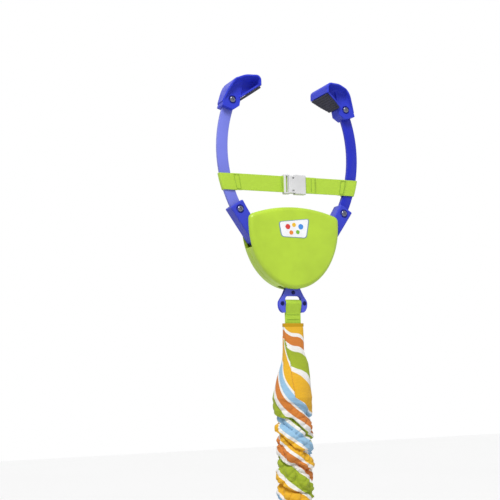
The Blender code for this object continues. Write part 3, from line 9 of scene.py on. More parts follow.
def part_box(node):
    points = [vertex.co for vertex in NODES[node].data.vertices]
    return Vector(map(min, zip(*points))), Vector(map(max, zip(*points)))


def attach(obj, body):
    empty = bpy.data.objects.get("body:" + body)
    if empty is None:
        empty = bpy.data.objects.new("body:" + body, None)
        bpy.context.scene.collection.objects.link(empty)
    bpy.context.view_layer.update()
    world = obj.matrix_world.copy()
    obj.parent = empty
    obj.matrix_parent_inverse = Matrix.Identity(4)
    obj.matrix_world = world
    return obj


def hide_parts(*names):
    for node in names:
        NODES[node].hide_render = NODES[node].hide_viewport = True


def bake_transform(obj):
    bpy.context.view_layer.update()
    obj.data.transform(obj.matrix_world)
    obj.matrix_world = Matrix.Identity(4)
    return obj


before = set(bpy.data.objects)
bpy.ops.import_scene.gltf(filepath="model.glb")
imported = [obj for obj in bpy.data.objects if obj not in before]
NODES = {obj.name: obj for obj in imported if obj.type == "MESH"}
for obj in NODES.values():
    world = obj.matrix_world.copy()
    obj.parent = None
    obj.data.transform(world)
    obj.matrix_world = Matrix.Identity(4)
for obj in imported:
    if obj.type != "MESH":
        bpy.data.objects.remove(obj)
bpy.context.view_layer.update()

# Camera, fitted to the photograph's straight lines
CAMERA_PLACE = Vector((-0.6698, -1.3795, -0.4254))
CAMERA_TURN = radians(23.5350)
CAMERA_PITCH = radians(6.7744)
CAMERA_ROLL = radians(-1.24443)
CAMERA_LENS = 71.95

# Stage
FLOOR_LEVEL = -1.80
FLOOR_SIZE = 30.0
AMBIENT = 0.43
FLOOR_WHITE = (0.93, 0.93, 0.93)
FLOOR_GLOW = 0.50

# Sizes that the frame's pieces are built on, in metres
FIT = 0.0003
GRIP_GAP = 0.1128
GRIP_CREST_HEIGHT = 0.0193
HOOD_FLANGE_THICKNESS = 0.003
HOOD_WALL_WIDTH = 0.060
HOOD_FOOT_LEVEL = -0.0224
HOOD_BODY_HALF = 0.0148
HOOD_CORNER = 0.005
HOOD_BOSS_SIZE = 0.0165
PAD_REACH = 0.0271
PAD_DROP = 0.0181
PAD_THICKNESS = 0.003
PAD_WIDTH = 0.052
SOLE_INSET = 0.001
ARM_HALF_SPAN = 0.112
ARM_RADIUS = 0.200
ARM_WIDEST_LEVEL = -0.092
ARM_WIDTH = 0.017
ARM_THICKNESS = 0.0065
GRIP_SCREW_LEVEL = -0.018
ARM_BOLT_LEVEL = -0.186
LEVER_DEPTH = 0.024
BOLT_RADIUS = 0.002
BOLT_HEAD_RADIUS = 0.0048
BOLT_HEAD_HEIGHT = 0.0026
HOUSING_WIDTH = 0.1526
HOUSING_TOP = -0.180
HOUSING_SHOULDER_DROP = 0.027
HOUSING_BELLY_DEPTH = 0.0989
HOUSING_CROWN_RADIUS = 0.212
HOUSING_CORNER_RADIUS = 0.010
HOUSING_DEPTH = 0.040
HOUSING_WALL = 0.0025
SAFETY_STRAP_WIDTH = 0.0254
SAFETY_STRAP_LEVEL = -0.1435
SAFETY_STRAP_THICKNESS = 0.0015
WEBBING_WIDTH = 0.026
WEBBING_THICKNESS = 0.0016
WEBBING_EYE_LENGTH = 0.015
STRAP_LOOP_RADIUS = 0.0043
SEWN_ROWS_SHARES = (1.15, 1.65)
RIB_PITCH = 0.0014

# Fine sizes of the looks
WELD = 0.000002
UP = (0, 0, 1)
CUT_OVERRUN = 0.003
RUNNING_FIT = 0.0005
SMOOTH_ANGLE = radians(38)
RIB_HEIGHT_SHARE = 0.16
HOUSING_CROWN = 0.0012
HOUSING_EDGE = 0.0072
RIM_CHAMFER = 0.0006
RIM_ANGLE = radians(60)
SIDE_SLOT_TOP_DROP = 0.0095
SIDE_SLOT_BOTTOM_DROP = 0.063
SIDE_SLOT_INSET = 0.016
HANGER_SLOT_WIDTH = 0.046
HANGER_SLOT_HALF = 0.0062
HANGER_SLOT_RISE = 0.0085
SCREW_WELL = 0.0022
COVER_SCREW_HEAD = 0.0032
COVER_HEAD_HEIGHT = 0.00176
HEAD_ANGLES = (0.5, 20, 40, 55, 68, 78, 86)
HEAD_POWER = 0.8
CROSS_WIDTH = 0.0011
CROSS_DEPTH = 0.0012
CROSS_TURN = radians(45)
CROSS_REACH_SHARE = 0.62
HOOD_SCOOP_DEPTH = 0.010
HOOD_WEB_STEP = 0.0025
HOOD_CREASE_X = 0.0815
HOOD_CREASE_LEAN = radians(10)
HOOD_LINE_STEPS = 6
HOOD_EASE = 5
LEVER_EASE = 6
BUCKLE_EASE = 4
CROSSBAR_EASE = 2
SCREW_RING_WIDTH = 0.0016
SCREW_RING_DEPTH = 0.0018
BAR_EDGE = 0.0009
PAD_GROOVE_PITCH = 0.0042
PAD_GROOVE_DEPTH = 0.0007
PAD_GROOVE_POINTS = 8
PAD_GROOVE_SHARE = 0.97
PAD_ANGLE = radians(25)
MOULD_VOXEL = 0.00050
FINE_VOXEL = 0.00036
RIVET_HEIGHT = 0.0012
HINGE_X = 0.0964547
STRAP_TAIL = 0.012
BUCKLE_BITE = 0.0046
FOLD_SHORT = 0.004
FOLD_LONG = 0.018
FOLD_ROWS_SHARES = (0.55, 0.92)
STITCH_PITCH = 0.0026
STITCH_SHARES = (0.12, 0.88)
STITCH_MARGIN = 0.0022
THREAD_RADIUS = 0.00032
RING_CORNER = 0.003
SPRING_HOOK_RADIUS = 0.0075
SPRING_WIRE = 0.0019
SPRING_RADIUS = 0.013
SPRING_TURNS = 26
HOOK_NECK = 0.006
HOOK_SWEEP = radians(300)
CLAMP_SPRING_WIRE = 0.0009
CLAMP_SPRING_TURNS = 6
SLEEVE_SHOULDER = 0.100
SLEEVE_FOOT = 0.070
SLEEVE_SMOOTH = 0.112
SLEEVE_END_DEPTH = 0.0042
SLEEVE_SEAM = -2.3
FACING_TURN = -0.45
ACROSS_SHARE = 0.9
SLEEVE_SQUARENESS = 1.6
SLEEVE_LEAST_HALF = 0.016
CRUMPLE_RUN = 0.035
VALLEY_POWER = 1.5
WANDER_RUN = 0.2
FOLD_DEPTH = 0.0105
PUFF_RISE_SHARE = 0.62
PUFF_FALL_SHARE = 0.09
PUFF_POWER = 0.55
FADE_SHARE = 0.28
FADE_TURN = 2.1
CRINKLE_SHARE = 0.42
CREASE_HEIGHT = 0.0020
CREASE_RUN = 0.0065
CREASE_BACK_SHARE = 0.6
CREASE_TOP = 0.016
CREASE_RISE = 0.015
CREASE_FOOT = 0.150
CREASE_FALL = 0.025
PLEAT_HEIGHT = 0.0004
PLEAT_RISE = 0.020
PLEAT_FALL = 0.160
HEM = 0.0052
COTTON_THICKNESS = 0.0006
CLOTH_AROUND = 0.192
PRINT_START = 0.006
RING_WIDTH = 0.042
RING_SLOT_DEPTH = 0.010
RING_SQUARENESS = 3
PARTING_WIDTH = 0.0007
PARTING_DEPTH = 0.0005
SEAT_STRAP_WIDTH = 0.025
SEAT_STRAP_THICKNESS = 0.002
HUB_SLOT_RADIUS = 0.026
HUB_DISC_TOP = -0.9016
SEAT_DEPTH = 0.225
LEG_HOLE_LENGTH = 0.125
LEG_HOLE_HEIGHT = 0.115
LEG_HOLE_SPREAD = 0.128
LEG_HOLE_TILT = radians(-25)
LEG_HOLE_RISE = 0.070
CROTCH_HALF_WIDTH = 0.014
SEAT_VOXEL = 0.0035
SEAT_GORES = 8
SEAT_SEAM_DROP = 0.126
SEAM_HOLD = 0.0028
SEAM_WIDTH = 0.0040
SEAM_DEPTH = 0.0022
SEAM_RISE = 0.020
SEAT_EASE = 3
SWOLLEN_EASE = 2
SEAT_RIM_HOLD = 0.042
LEG_HOLD = 0.009
SEAT_PRESSURE = 4.0
SIMULATION_STEPS = 20
SWELL_CAP = 0.008
BINDING_RADIUS = 0.0042
PIPING_RADIUS = 0.0032
LABEL_CORNERS = ((-0.0255, -0.2275), (0.0176, -0.2288), (0.0235, -0.1978), (-0.0294, -0.2041))
LABEL_ROUND = 0.0055
BORDER_RISE = 0.0003
BORDER_THICKNESS = 0.0004
PLATE_RISE = 0.0005
DOT_RISE = 0.0007
FILM_THICKNESS = 0.0003
# The label's dots: a place on it, a radius and a colour
LABEL_DOTS = (
    (-0.0140, -0.2115, 0.0040, (214, 52, 48)), (-0.0035, -0.2085, 0.0032, (242, 190, 30)),
    (0.0080, -0.2110, 0.0042, (66, 140, 220)), (0.0025, -0.2195, 0.0031, (120, 186, 40)),
    (-0.0085, -0.2205, 0.0033, (236, 132, 40)),
)
LABEL_DOT_ROUGHNESS = 0.35

# Facets
OUTLINE_POINTS = 48
CORNER_POINTS = 10
EDGE_POINTS = 10
CROWN_RINGS = 14
END_POINTS = 24
SCOOP_POINTS = 10
HOOK_POINTS = 30
WIRE_SIDES = 20
CLAMP_SPRING_SIDES = 10
TURN_POINTS = 28
SLEEVE_ROWS = 420
SLEEVE_SIDES = 200
RING_STATIONS = 160
RING_SECTION_POINTS = 48
LEG_EDGE_POINTS = 80
LEG_EDGE_HALVINGS = 24
SEAT_LAST_SHARE = 0.985
RIM_POINTS = 120
DOT_SIDES = 32
STRAP_STEPS = 8
STRAP_RUN_STEPS = 6
STUB_STEPS = 5

# Shares of the sizes that they follow
HOOD_BACK_SHARES = (
    (1.0, 0.0, 0.380), (0.892, 0.359, 0.533), (0.778, 0.667, 0.700), (0.674, 0.858, 0.733),
    (0.595, 0.902, 0.800), (0.462, 0.969, 0.850), (0.355, 1.0, 0.900), (0.180, 1.0, 0.960),
)
HOOD_BOSS_SHARES = ((-0.703, -0.539), (-0.067, -0.945), (1.0, -0.606))
SOLE_WIDTH_SHARES = (0.60, 0.85, 1.0)
SEAT_TAPER_SHARE = 0.35
SEAT_TAPER_POWER = 1.6
STRAP_RUN_SHARES = (0, 0.04, 0.5, 0.96, 1)
SEAT_ROUND_START_SHARE = 0.72
LEG_FORWARD_SHARE = 0.45
SLEEVE_DEPTH_SHARE = 0.90
LABEL_INNER_SHARE = 0.93
LABEL_INNER_ROUND_SHARE = 0.8
LABEL_RINGS_SHARES = (0.9, 0.75, 0.6, 0.45, 0.3, 0.15, 0.03)
# Points round a webbing's section: shares of half its width, and of half its thickness
BAND_SECTION = (
    (-1, 0.35), (-0.975, 0.9), (-0.6, 1), (-0.2, 1), (0.2, 1), (0.6, 1), (0.975, 0.9), (1, 0.35),
    (1, -0.35), (0.975, -0.9), (0.6, -1), (0.2, -1), (-0.2, -1), (-0.6, -1), (-0.975, -0.9), (-1, -0.35),
)
# Half widths of the sleeve to its left and right, in metres, at drops below its top hem
SLEEVE_HALF_WIDTHS = (
    (0.000, 0.0164, 0.0164), (0.019, 0.0162, 0.0156), (0.040, 0.0166, 0.0154), (0.050, 0.0172, 0.0174),
    (0.061, 0.0192, 0.0214), (0.082, 0.0270, 0.0238), (0.103, 0.0326, 0.0254), (0.113, 0.0351, 0.0267),
    (0.124, 0.0348, 0.0270), (0.134, 0.0334, 0.0270), (0.145, 0.0330, 0.0272), (0.187, 0.0342, 0.0276),
    (0.208, 0.0345, 0.0277), (0.229, 0.0331, 0.0277), (0.250, 0.0331, 0.0279), (0.260, 0.0318, 0.0276),
    (0.300, 0.0325, 0.0285), (0.340, 0.0315, 0.0305), (0.380, 0.0310, 0.0310), (0.410, 0.0270, 0.0275),
    (0.440, 0.0190, 0.0190), (0.460, 0.0160, 0.0160),
)
# Drops of the folds' valleys at the sleeve's left, its middle and its right as the room sees it
SLEEVE_VALLEYS = (
    (0.068, 0.090, 0.110), (0.098, 0.120, 0.143), (0.135, 0.148, 0.175), (0.160, 0.184, 0.198),
    (0.206, 0.209, 0.222), (0.232, 0.251, 0.262), (0.262, 0.280, 0.296), (0.294, 0.306, 0.330),
    (0.330, 0.342, 0.352), (0.354, 0.372, 0.388), (0.386, 0.402, 0.414), (0.416, 0.428, 0.440),
    (0.446, 0.452, 0.460),
)
VALLEY_TURNS = (-2.02, -0.45, 1.12, 2.69)
HIDDEN_CLOTH = (0.0, 0.001, 0.018, 0.001, 0.004, 0.003, 0.007, 0.006, 0.008, 0.007, 0.008, 0.006, 0.004)
# The creases between folds: a patch's height, how much wider it is, its lean and its depth
CRINKLES = ((0.026, 1.5, -0.012, 0.0052), (0.012, 1.7, 0.010, 0.0021))
# Slow waves that bend the sleeve's folds, and its small pleats: turns round it, radians a metre
# down it, size and start
SLEEVE_WANDER = ((2, 47.0, 0.07, 1.9), (3, 83.0, 0.06, 4.0), (5, -120.0, 0.05, 2.6))
PLEATS = ((5, 46.0, 1.0, 0.0), (11, -75.0, 0.6, 1.0))
# The crease between the sleeve's taut upper cloth and the cloth below it: drop and place across
CREASE_LINE = (
    (0.015, -0.040), (0.020, -0.022), (0.0254, -0.0105), (0.0338, -0.006), (0.0442, -0.0045),
    (0.0652, -0.0015), (0.0904, 0.0015), (0.1114, 0.0050), (0.1197, 0.018), (0.1334, 0.028),
    (0.150, 0.070), (0.160, 0.200),
)
# The print down the sleeve, and its bands' slopes, by drops
UPPER_PRINT = ((0.0, 0.0041), (0.076, 0.080), (0.122, 0.108), (0.150, 0.156), (1.0, 1.006))
UPPER_SLOPES = ((0.100, 0.49), (0.150, 0.68))
LOWER_SLOPES = ((0.025, 2.9), (0.063, 1.98), (0.082, 1.58), (0.111, 1.15), (0.145, 0.68))

# Light
AIM = (0, 0, -0.30)
KEY_PLACE = (-1.5, -1.9, 2.4)
KEY_SIZE = 1.2
KEY_POWER = 104
FILL_PLACE = (2.4, -1.6, -0.2)
FILL_SIZE = 2.0
FILL_POWER = 7

COVER_SCREWS = ("upper_front", "upper_rear", "lower_front", "lower_rear")
SEAT_STRAPS = (
    ("seat_strap_front_left", radians(225)), ("seat_strap_front_right", radians(135)),
    ("seat_strap_rear_left", radians(315)), ("seat_strap_rear_right", radians(45)),
)
SIDES = (("front", -1), ("rear", 1))


# Camera and light


def added(name, data):
    """A new object of this data, in the scene."""
    made = bpy.data.objects.new(name, data)
    bpy.context.scene.collection.objects.link(made)
    return made


def make_camera():
    turn, pitch, roll = CAMERA_TURN, CAMERA_PITCH, CAMERA_ROLL
    ahead = Vector((sin(turn) * cos(pitch), cos(turn) * cos(pitch), sin(pitch)))
    level_right = Vector((cos(turn), -sin(turn), 0))
    level_up = level_right.cross(ahead)
    right = level_right * cos(roll) + level_up * sin(roll)
    up = level_up * cos(roll) - level_right * sin(roll)
    camera = added("camera", bpy.data.cameras.new("camera"))
    camera.data.lens = CAMERA_LENS
    axes = Matrix((right, up, -ahead)).transposed().to_4x4()
    camera.matrix_world = Matrix.Translation(CAMERA_PLACE) @ axes
    bpy.context.scene.camera = camera


def make_lamp(name, place, aim, size, power):
    lamp = added(name, bpy.data.lights.new(name, "AREA"))
    lamp.data.size = size
    lamp.data.energy = power
    lamp.location = place
    lamp.rotation_euler = (Vector(aim) - Vector(place)).to_track_quat("-Z", "Y").to_euler()


def make_world():
    """Even white light, and pure white for what the camera, gloss and glass see of it."""
    world = bpy.data.worlds.new("studio")
    world.use_nodes = True
    bpy.context.scene.world = world
    nodes = Nodes(world.node_tree)
    back = nodes.tree.nodes["Background"].inputs
    back["Color"].default_value = (1, 1, 1, 1)
    nodes.tree.links.new(nodes.spread(nodes.seen(), 0.0, 1.0, AMBIENT, 1.0), back["Strength"])


def make_stage():
    bm = bmesh.new()
    bmesh.ops.create_grid(bm, x_segments=1, y_segments=1, size=FLOOR_SIZE / 2)
    bmesh.ops.translate(bm, verts=bm.verts, vec=(0, 0, FLOOR_LEVEL))
    mesh = bpy.data.meshes.new("floor")
    bm.to_mesh(mesh)
    bm.free()
    floor = added("floor", mesh)
    finish = Finish("floor_paint", 0.9)
    cloud = finish.spread(finish.noise(0.4), 0.3, 0.7)
    finish.paint(finish.mix(cloud, toned(FLOOR_WHITE, 0.97), FLOOR_WHITE))
    glow = finish.value("MULTIPLY", finish.seen(), FLOOR_GLOW)
    finish.shader.inputs["Emission Color"].default_value = (1, 1, 1, 1)
    finish.tree.links.new(glow, finish.shader.inputs["Emission Strength"])
    mesh.materials.append(finish.material)


# Finishes

# Where noise is taken as none and all of a cloud
CLOUD_RANGE = (0.35, 0.65)


class Nodes:
    """A node tree, and short ways to add to it."""

    def __init__(self, tree):
        self.tree = tree

    def node(self, kind, **settings):
        made = self.tree.nodes.new(kind)
        for key, value in settings.items():
            setattr(made, key, value)
        return made

    def fed(self, kind, sources, output=0, **settings):
        """A new node with values or sockets put into its inputs, and one of its outputs."""
        made = self.node(kind, **settings)
        for key, source in sources.items():
            if isinstance(source, bpy.types.NodeSocket):
                self.tree.links.new(source, made.inputs[key])
            else:
                made.inputs[key].default_value = source
        return made.outputs[output]

    def value(self, operation, first, second=0.0):
        return self.fed("ShaderNodeMath", {0: first, 1: second}, operation=operation)

    def spread(self, source, low, high, to_low=0.0, to_high=1.0):
        ends = {"Value": source, "From Min": low, "From Max": high, "To Min": to_low, "To Max": to_high}
        return self.fed("ShaderNodeMapRange", ends)

    def seen(self):
        """1 for what the camera, gloss and glass see, and 0 for light that falls on the object."""
        rays = self.node("ShaderNodeLightPath").outputs
        seen = self.value("MAXIMUM", rays["Is Camera Ray"], rays["Is Glossy Ray"])
        return self.value("MAXIMUM", seen, rays["Is Transmission Ray"])


class Finish(Nodes):
    """A procedural material: a Principled shader and the few nodes that feed it."""

    def __init__(self, name, roughness, metallic=0.0, **settings):
        self.material = bpy.data.materials.new(name)
        self.material.use_nodes = True
        super().__init__(self.material.node_tree)
        self.shader = self.tree.nodes["Principled BSDF"]
        self.shader.inputs["Roughness"].default_value = roughness
        self.shader.inputs["Metallic"].default_value = metallic
        for socket, value in settings.items():
            self.shader.inputs[socket.replace("_", " ")].default_value = value
        self.place = self.node("ShaderNodeTexCoord").outputs["Object"]

    def noise(self, scale, detail=3.0, place=None, stretch=None):
        """Noise of so many lumps a metre, from 0 to 1."""
        place = place or self.place
        if stretch:
            place = self.fed("ShaderNodeMapping", {"Vector": place, "Scale": stretch})
        return self.fed("ShaderNodeTexNoise", {"Vector": place, "Scale": scale, "Detail": detail})

    def mix(self, share, first, second, blend="MIX"):
        ends = {0: share, 6: self.rgba(first), 7: self.rgba(second)}
        return self.fed("ShaderNodeMix", ends, output=2, data_type="RGBA", blend_type=blend)

    def rgba(self, colour):
        return colour if isinstance(colour, bpy.types.NodeSocket) else (*colour, 1)

    def paint(self, socket):
        self.tree.links.new(socket, self.shader.inputs["Base Color"])

    def clouded(self, colour, scale, detail, dark, pale):
        """Paints a colour with soft patches of a darker and a paler tone."""
        cloud = self.spread(self.noise(scale, detail), *CLOUD_RANGE)
        self.paint(self.mix(cloud, toned(colour, dark), toned(colour, pale)))

    def rough(self, source, least, most):
        spread = self.spread(source, 0.3, 0.7, least, most)
        self.tree.links.new(spread, self.shader.inputs["Roughness"])

    def bump(self, height, distance, strength=1.0):
        """Adds relief; a distance is the height in metres of a step from 0 to 1."""
        ends = {"Height": height, "Distance": distance, "Strength": strength}
        before = self.shader.inputs["Normal"].links
        if before:
            ends["Normal"] = before[0].from_socket
        self.tree.links.new(self.fed("ShaderNodeBump", ends), self.shader.inputs["Normal"])


def linear(red, green, blue):
    """A colour as it looks on a screen, from 0 to 255, in the renderer's own values."""
    parts = [part / 255 for part in (red, green, blue)]
    return tuple(p / 12.92 if p <= 0.04045 else ((p + 0.055) / 1.055) ** 2.4 for p in parts)


def toned(colour, share):
    return tuple(part * share for part in colour)


def moulded_plastic(name, colour, roughness=0.38, gloss=0.5):
    """Moulded plastic: a faint cloud in its colour, a fine spark-eroded grain, and gloss that varies."""
    finish = Finish(name, roughness, IOR=1.5, Specular_IOR_Level=gloss)
    finish.clouded(colour, 28.0, 3.0, 0.93, 1.04)
    finish.rough(finish.noise(160.0, 4.0), roughness - 0.06, roughness + 0.07)
    finish.bump(finish.noise(2600.0, 2.0), 0.00003, 0.5)
    finish.bump(finish.noise(90.0, 1.0), 0.00025, 0.35)
    return finish.material


def painted_steel(name, colour):
    """Powder coat: a pebbled skin over flat steel."""
    finish = Finish(name, 0.42, Coat_Weight=0.08, Coat_Roughness=0.25, Specular_IOR_Level=0.3)
    finish.clouded(colour, 18.0, 4.0, 0.94, 1.05)
    finish.rough(finish.noise(220.0, 3.0), 0.36, 0.50)
    finish.bump(finish.noise(900.0, 3.0), 0.00006, 0.6)
    return finish.material


def plain_steel(name, colour, roughness, stretch=(1.0, 1.0, 1.0)):
    """Plated or drawn steel, with fine lines along one way and cloudy gloss."""
    finish = Finish(name, roughness, metallic=1.0)
    lines = finish.noise(1400.0, 2.0, stretch=stretch)
    finish.paint(finish.mix(finish.spread(lines, 0.3, 0.7), toned(colour, 0.86), colour))
    finish.rough(finish.noise(300.0, 3.0), roughness - 0.08, roughness + 0.10)
    finish.bump(lines, 0.00002, 0.5)
    return finish.material


def soft_rubber(name, colour):
    finish = Finish(name, 0.75)
    dust = finish.spread(finish.noise(70.0, 5.0), 0.4, 0.75)
    finish.paint(finish.mix(dust, colour, toned(colour, 1.9)))
    finish.rough(finish.noise(400.0), 0.65, 0.85)
    finish.bump(finish.noise(1800.0, 3.0), 0.00006, 0.8)
    return finish.material


def woven(finish, thread, pitch, strength=1.0):
    """Relief and shade of a plain weave along and across a cloth's own coordinates."""
    along, across = thread
    turn = 2 * pi / pitch
    warp = finish.value("SINE", finish.value("MULTIPLY", across, turn))
    weft = finish.value("SINE", finish.value("MULTIPLY", along, turn))
    weave = finish.spread(finish.value("MULTIPLY", warp, weft), -1.0, 1.0)
    finish.bump(weave, 0.12 * pitch, strength)
    return weave


def cloth_place(finish, name="cloth"):
    """A cloth's own coordinates, kept with its points: along it, across it, and a share."""
    place = finish.fed("ShaderNodeAttribute", {}, output="Vector", attribute_name=name)
    split = finish.node("ShaderNodeSeparateXYZ")
    finish.tree.links.new(place, split.inputs[0])
    return place, split.outputs[0], split.outputs[1], split.outputs[2]


def webbing_cloth(name, colour):
    """Ribbed polyester webbing: ribs across its length with painted shade between them, painted highlights on
    the weave's raised threads, and a soft sheen.
    """
    finish = Finish(name, 0.78, Sheen_Weight=0.35, Sheen_Roughness=0.45)
    place, along, across, _ = cloth_place(finish)
    rib = finish.value("COSINE", finish.value("MULTIPLY", along, 2 * pi / RIB_PITCH))
    rib = finish.spread(rib, -1.0, 1.0)
    weave = woven(finish, (along, across), RIB_PITCH / 2, 0.7)
    # Painted shade: darker in the hollows between the ribs, paler on their crests.
    body = finish.mix(rib, toned(colour, 0.80), toned(colour, 1.05))
    # Painted highlight: paler where the weave's threads rise.
    body = finish.mix(finish.value("MULTIPLY", weave, 0.35), body, toned(colour, 1.15))
    streak = finish.noise(900.0, 2.0, place=place, stretch=(0.15, 1.0, 1.0))
    body = finish.mix(finish.spread(streak, 0.35, 0.7, 0.0, 0.30), body, toned(colour, 0.70))
    finish.paint(body)
    finish.rough(finish.noise(500.0), 0.70, 0.86)
    return finish.material


WHITE_COTTON = linear(244, 242, 238)
YELLOW_INK = linear(234, 178, 0)
ORANGE_INK = linear(214, 124, 32)
GREEN_INK = linear(158, 178, 8)
BLUE_INK = linear(150, 194, 226)
# The print's bands from the top down: a colour, its width, and the white after it
BANDS = (
    (YELLOW_INK, 0.0160, 0.0055),
    (ORANGE_INK, 0.0140, 0.0090),
    (GREEN_INK, 0.0250, 0.0070),
    (YELLOW_INK, 0.0280, 0.0045),
    (BLUE_INK, 0.0150, 0.0050),
    (ORANGE_INK, 0.0160, 0.0090),
    (GREEN_INK, 0.0200, 0.0060),
    (BLUE_INK, 0.0160, 0.0050),
)
BAND_PERIOD = sum(width + gap for _, width, gap in BANDS)
INK_EDGE = 0.0003
SLUB_TINT = (0.35, 0.27, 0.2)
HEM_OCHRE = linear(196, 150, 14)
COTTON_THREAD = 0.0007


def striped_cotton(name):
    """Printed cotton: diagonal bands with crisp edges on white, plain weave, slubs and a matt skin."""
    finish = Finish(name, 0.86, Sheen_Weight=0.10, Sheen_Roughness=0.5, Specular_IOR_Level=0.3)
    place, along, across, _ = cloth_place(finish)
    _, upper, lower, crease = cloth_place(finish, "print")
    below = finish.value("GREATER_THAN", crease, 0.0)
    step = finish.value("MULTIPLY", below, finish.value("SUBTRACT", lower, upper))
    phase = finish.value("ADD", upper, step)
    wander = finish.spread(finish.noise(60.0, 2.0, place=place), 0.0, 1.0, -INK_EDGE, INK_EDGE)
    phase = finish.value("ADD", phase, wander)
    share = finish.value("FRACT", finish.value("DIVIDE", phase, BAND_PERIOD))
    ramp = finish.node("ShaderNodeValToRGB")
    stops = []
    start = 0.0
    for ink, width, gap in BANDS:
        end = start + width
        stops += [(start, WHITE_COTTON), (start + INK_EDGE, ink), (end, ink), (end + INK_EDGE, WHITE_COTTON)]
        start += width + gap
    elements = ramp.color_ramp.elements
    while len(elements) < len(stops):
        elements.new(1.0)
    for element, (reach, colour) in zip(elements, stops):
        element.position = reach / BAND_PERIOD
        element.color = (*colour, 1)
    finish.tree.links.new(share, ramp.inputs["Fac"])
    weave = woven(finish, (along, across), COTTON_THREAD, 0.6)
    slub = finish.noise(800.0, 2.0, place=place, stretch=(1.0, 0.12, 1.0))
    slub = finish.spread(slub, 0.4, 0.75, 0.0, 0.16)
    body = finish.mix(slub, ramp.outputs["Color"], SLUB_TINT, "MULTIPLY")
    # Painted highlight: a little whiter where the weave's threads rise.
    body = finish.mix(finish.value("MULTIPLY", weave, 0.05), body, (1, 1, 1))
    hem = finish.spread(along, HEM, HEM + INK_EDGE, 1.0, 0.0)
    finish.paint(finish.mix(hem, body, HEM_OCHRE))
    finish.rough(finish.noise(300.0), 0.80, 0.92)
    return finish.material


def padded_cotton(name, colour):
    finish = Finish(name, 0.88, Sheen_Weight=0.35, Sheen_Roughness=0.5)
    place, along, across, _ = cloth_place(finish)
    cloud = finish.spread(finish.noise(35.0, place=place), *CLOUD_RANGE)
    body = finish.mix(cloud, toned(colour, 0.90), toned(colour, 1.05))
    weave = woven(finish, (along, across), COTTON_THREAD, 0.7)
    # Painted highlight: paler where the weave's threads rise.
    finish.paint(finish.mix(finish.value("MULTIPLY", weave, 0.2), body, toned(colour, 1.25)))
    finish.bump(finish.noise(240.0, 3.0, place=place), 0.0003, 0.5)
    finish.rough(finish.noise(300.0), 0.80, 0.95)
    return finish.material


LIME = moulded_plastic("lime_shell", linear(180, 213, 52), 0.40)
LEVER_BLUE = moulded_plastic("blue_lever", linear(62, 72, 204), 0.34, 0.14)
HOOD_BLUE = moulded_plastic("blue_hood", linear(56, 68, 206), 0.34, 0.10)
HANGER_BLUE = moulded_plastic("blue_hanger", linear(84, 92, 218), 0.36, 0.3)
SEAT_BLUE = moulded_plastic("blue_seat_plastic", linear(44, 54, 200), 0.38, 0.3)
# The arms share one paint: the front arm's paler tone is painted light and the rear arm's darker tone is
# painted shade.
FRONT_ARM_PAINTED_LIGHT = painted_steel("front_arm_paint", linear(118, 126, 222))
REAR_ARM_PAINTED_SHADE = painted_steel("rear_arm_paint", linear(26, 40, 186))
RUBBER = soft_rubber("grip_rubber", linear(26, 26, 44))
WEBBING = webbing_cloth("green_webbing", linear(184, 220, 58))
THREAD = webbing_cloth("green_thread", linear(140, 176, 40))
BUCKLE_GREY = moulded_plastic("buckle_grey", linear(221, 221, 222), 0.42, 0.3)
SCREW_STEEL = plain_steel("screw_steel", linear(112, 114, 130), 0.22)
DARK_STEEL = plain_steel("dark_steel", linear(34, 36, 84), 0.42)
INNER_STEEL = plain_steel("inner_steel", linear(190, 192, 198), 0.30)
COTTON = striped_cotton("striped_cotton")
SEAT_CLOTH = padded_cotton("seat_cloth", linear(176, 210, 70))
BINDING_CLOTH = webbing_cloth("blue_binding", linear(60, 66, 200))
LABEL_WHITE = moulded_plastic("label_white", linear(246, 247, 250), 0.30)
LABEL_EDGE = moulded_plastic("label_edge", linear(120, 148, 172), 0.35)


# Mesh tools


def mesh_from(bm, name):
    bmesh.ops.recalc_face_normals(bm, faces=bm.faces)
    mesh = bpy.data.meshes.new(name)
    bm.to_mesh(mesh)
    bm.free()
    return mesh


def prism(outline, y_from, y_to):
    """A mesh with this XZ outline between two Y planes."""
    bm = bmesh.new()
    face = bm.faces.new([bm.verts.new((x, y_from, z)) for x, z in outline])
    grown = bmesh.ops.extrude_face_region(bm, geom=[face])
    moved = [item for item in grown["geom"] if isinstance(item, bmesh.types.BMVert)]
    bmesh.ops.translate(bm, verts=moved, vec=(0, y_to - y_from, 0))
    return mesh_from(bm, "prism")


def block(lowest, highest):
    (x0, y0, z0), (x1, y1, z1) = lowest, highest
    return prism([(x0, z0), (x1, z0), (x1, z1), (x0, z1)], y0, y1)


def loft(rings, closed=False, capped=True):
    """Faces between rings of as many points; a closed loft joins its last ring to its first."""
    bm = bmesh.new()
    rows = [[bm.verts.new(point) for point in ring] for ring in rings]
    pairs = list(zip(rows, rows[1:]))
    if closed:
        pairs.append((rows[-1], rows[0]))
    for low, high in pairs:
        for i in range(len(low)):
            j = (i + 1) % len(low)
            bm.faces.new((low[i], low[j], high[j], high[i]))
    if capped and not closed:
        bm.faces.new(rows[0])
        bm.faces.new(rows[-1])
    return mesh_from(bm, "loft")


def lathe(profile, place, direction, sides=48):
    """A solid of revolution from a profile of (radius, height), from its top to its bottom."""
    turned = Matrix.Translation(place) @ Vector(direction).to_track_quat("Z", "Y").to_matrix().to_4x4()
    rings = []
    for radius, height in profile:
        angles = (2 * pi * i / sides for i in range(sides))
        rings.append([turned @ Vector((radius * cos(a), radius * sin(a), height)) for a in angles])
    return loft(rings)


